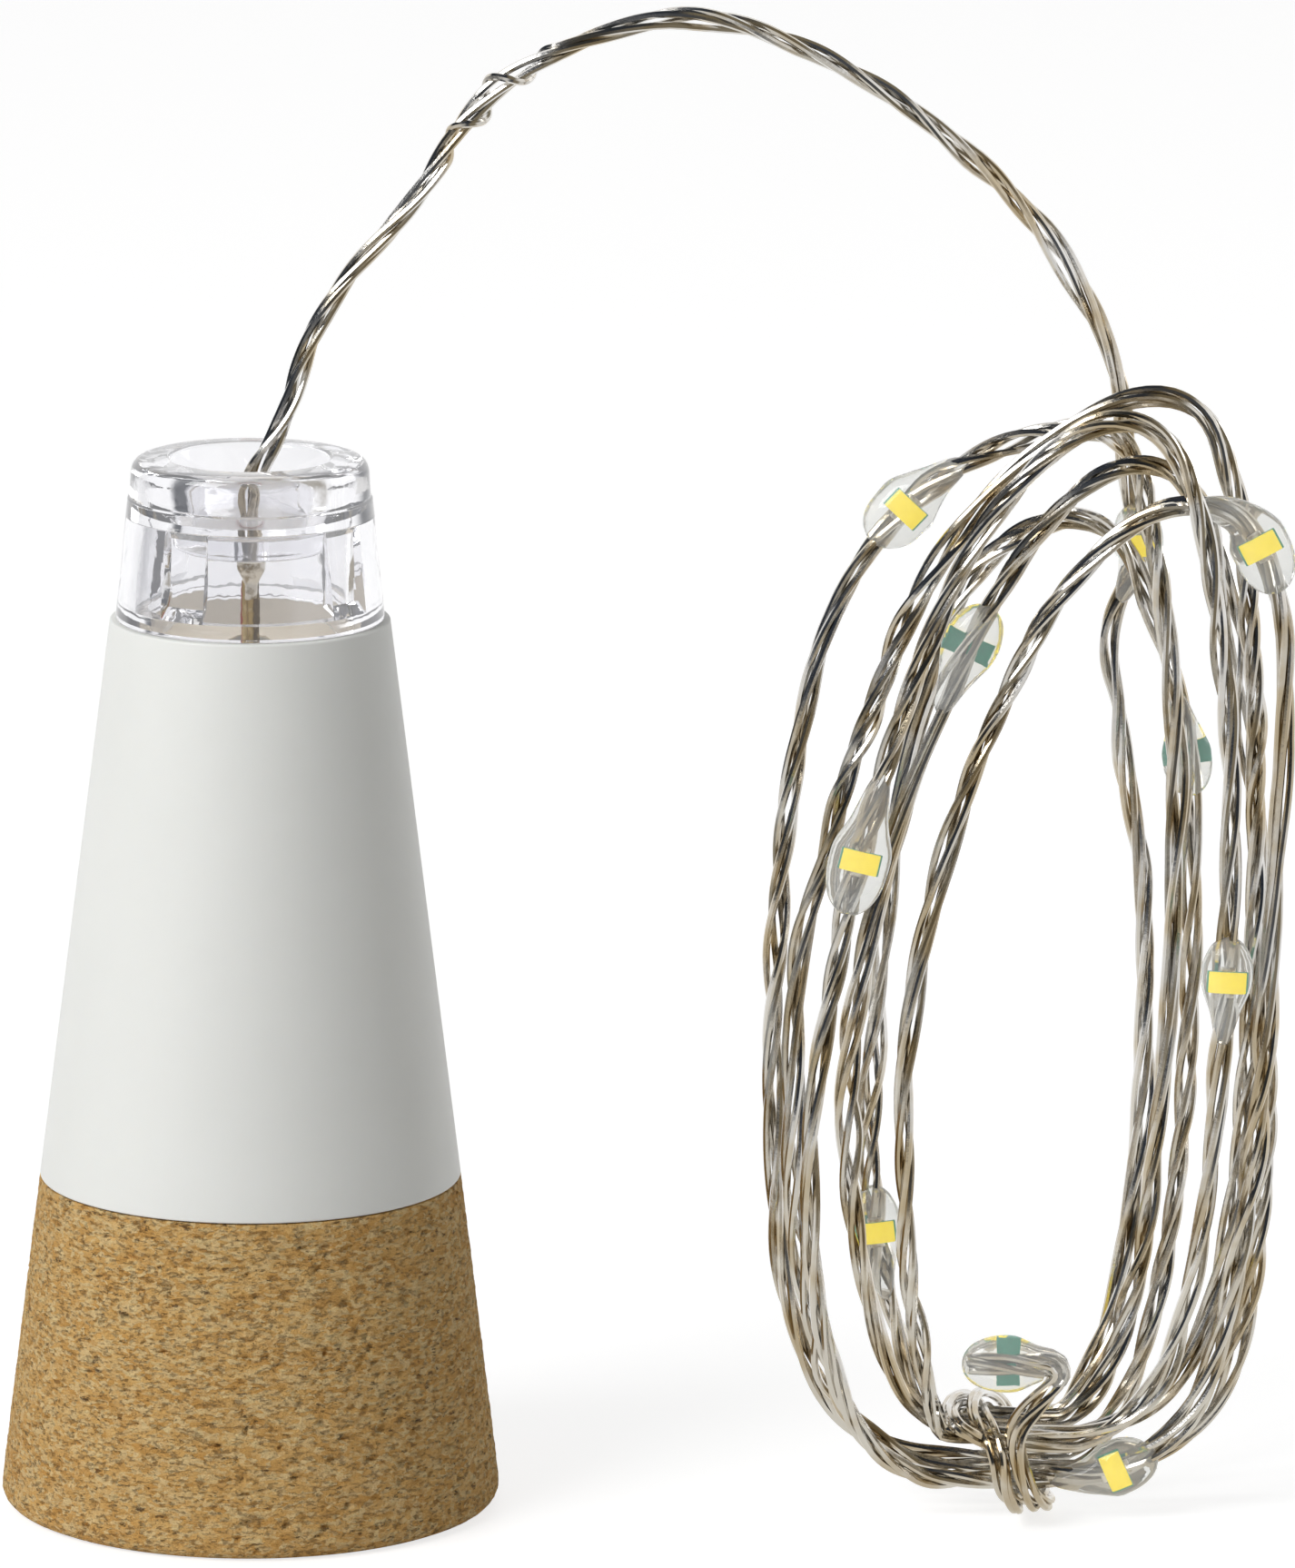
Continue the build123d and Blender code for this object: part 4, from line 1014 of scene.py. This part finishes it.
# %% Floor
FLOOR_HALF, FLOOR_DROP = 1.5, 0.00002
floor_mesh = bpy.data.meshes.new("floor")
floor_corners = [(x * FLOOR_HALF, y * FLOOR_HALF, 0) for x, y in ((-1, -1), (1, -1), (1, 1), (-1, 1))]
floor_mesh.from_pydata(floor_corners, [], [(0, 1, 2, 3)])
floor = bpy.data.objects.new("floor", floor_mesh)
floor.location.z = -FLOOR_DROP
scene.collection.objects.link(floor)

# %% Floor's look
NIGHT, OLIVE, PAPER = (0.022, 0.028, 0.040, 1), (0.20, 0.17, 0.115, 1), (0.74, 0.74, 0.74, 1)
LEFT_PATCH, NEAR_PATCH = (0.74, 0.73, 0.71, 1), (0.74, 0.71, 0.64, 1)
HANK_MIDDLE = 46.0
IN_FRONT = (0.65, 0.45)

floor_look = Look("pale_floor", Roughness=0.6, Emission_Strength=1.0)
by_camera, by_mirror, by_clear = floor_look.rays()
looked_at = (by_camera + by_mirror + by_clear).step(0.4, 0.6)
right_way, back_way, _ = floor_look.parts(floor_look.millimetres)
right_way = right_way - HANK_MIDDLE
distance = (right_way * right_way + back_way * back_way).root()
to_the_right = right_way / distance
room = floor_look.mix(to_the_right.step(0.53, 0.75), OLIVE, PAPER)
room = floor_look.mix(to_the_right.step(-0.04, 0.16), NIGHT, room)
room = floor_look.mix(to_the_right.step(-0.12, -0.42) * distance.step(400, 280), room, LEFT_PATCH)
room = floor_look.mix(distance.step(125, 60), room, NEAR_PATCH)
in_front = (back_way / distance).step(*IN_FRONT) * by_mirror
paper = floor_look.mix(floor_look.noise(30.0), colour(232, 232, 232), colour(228, 228, 228))
paper = floor_look.mix(looked_at, paper, colour(170, 170, 170))
floor_look.set(Base_Color=floor_look.mix(in_front, paper, colour(40, 40, 40)),
               Emission_Color=floor_look.mix(in_front, floor_look.mix(looked_at, BLACK, PAPER), room))
dress(floor_look, floor)


# %% Lights
def panel(name, place, aim, size, power):
    """A soft box: a square lamp that faces a point."""
    lamp = bpy.data.lights.new(name, "AREA")
    lamp.size, lamp.energy = size, power
    holder = bpy.data.objects.new(name, lamp)
    holder.location = place
    holder.rotation_euler = (Vector(aim) - Vector(place)).to_track_quat("-Z", "Y").to_euler()
    scene.collection.objects.link(holder)
    print(name, "light of", power, "W")


panel("key", (-0.52, -0.44, 0.62), (0.02, 0, 0.04), 0.50, 6.3)
panel("edge", (0.75, 0.35, 0.30), (0.02, 0, 0.04), 0.30, 0.7)

# %% Sky
AMBIENT = 0.23
world = bpy.data.worlds.new("studio")
world.use_nodes = True
sky = Nodes(world.node_tree)
by_camera, by_mirror, by_clear = sky.rays()
seen = by_camera.larger(by_clear).larger(by_mirror)
right_way, back_way, _ = sky.parts(sky.node("ShaderNodeTexCoord", {}, {}, "Generated"))
room = sky.mix(right_way.step(0.54, 0.76), OLIVE, WHITE)
room = sky.mix(right_way.step(0.0, 0.22), NIGHT, room)
tone = sky.mix(back_way.step(*IN_FRONT) * by_mirror, WHITE, room)
ambient = sky.node("ShaderNodeBackground", {}, {"Color": WHITE, "Strength": AMBIENT})
shown = sky.node("ShaderNodeBackground", {}, {"Color": tone, "Strength": 1.0})
both = sky.node("ShaderNodeMixShader", {}, {0: seen, 1: ambient, 2: shown})
sky.tree.links.new(both.socket, sky.tree.nodes.new("ShaderNodeOutputWorld").inputs["Surface"])
scene.world = world
scene.view_settings.view_transform = "Standard"
print("sky of", len(sky.tree.nodes), "nodes")
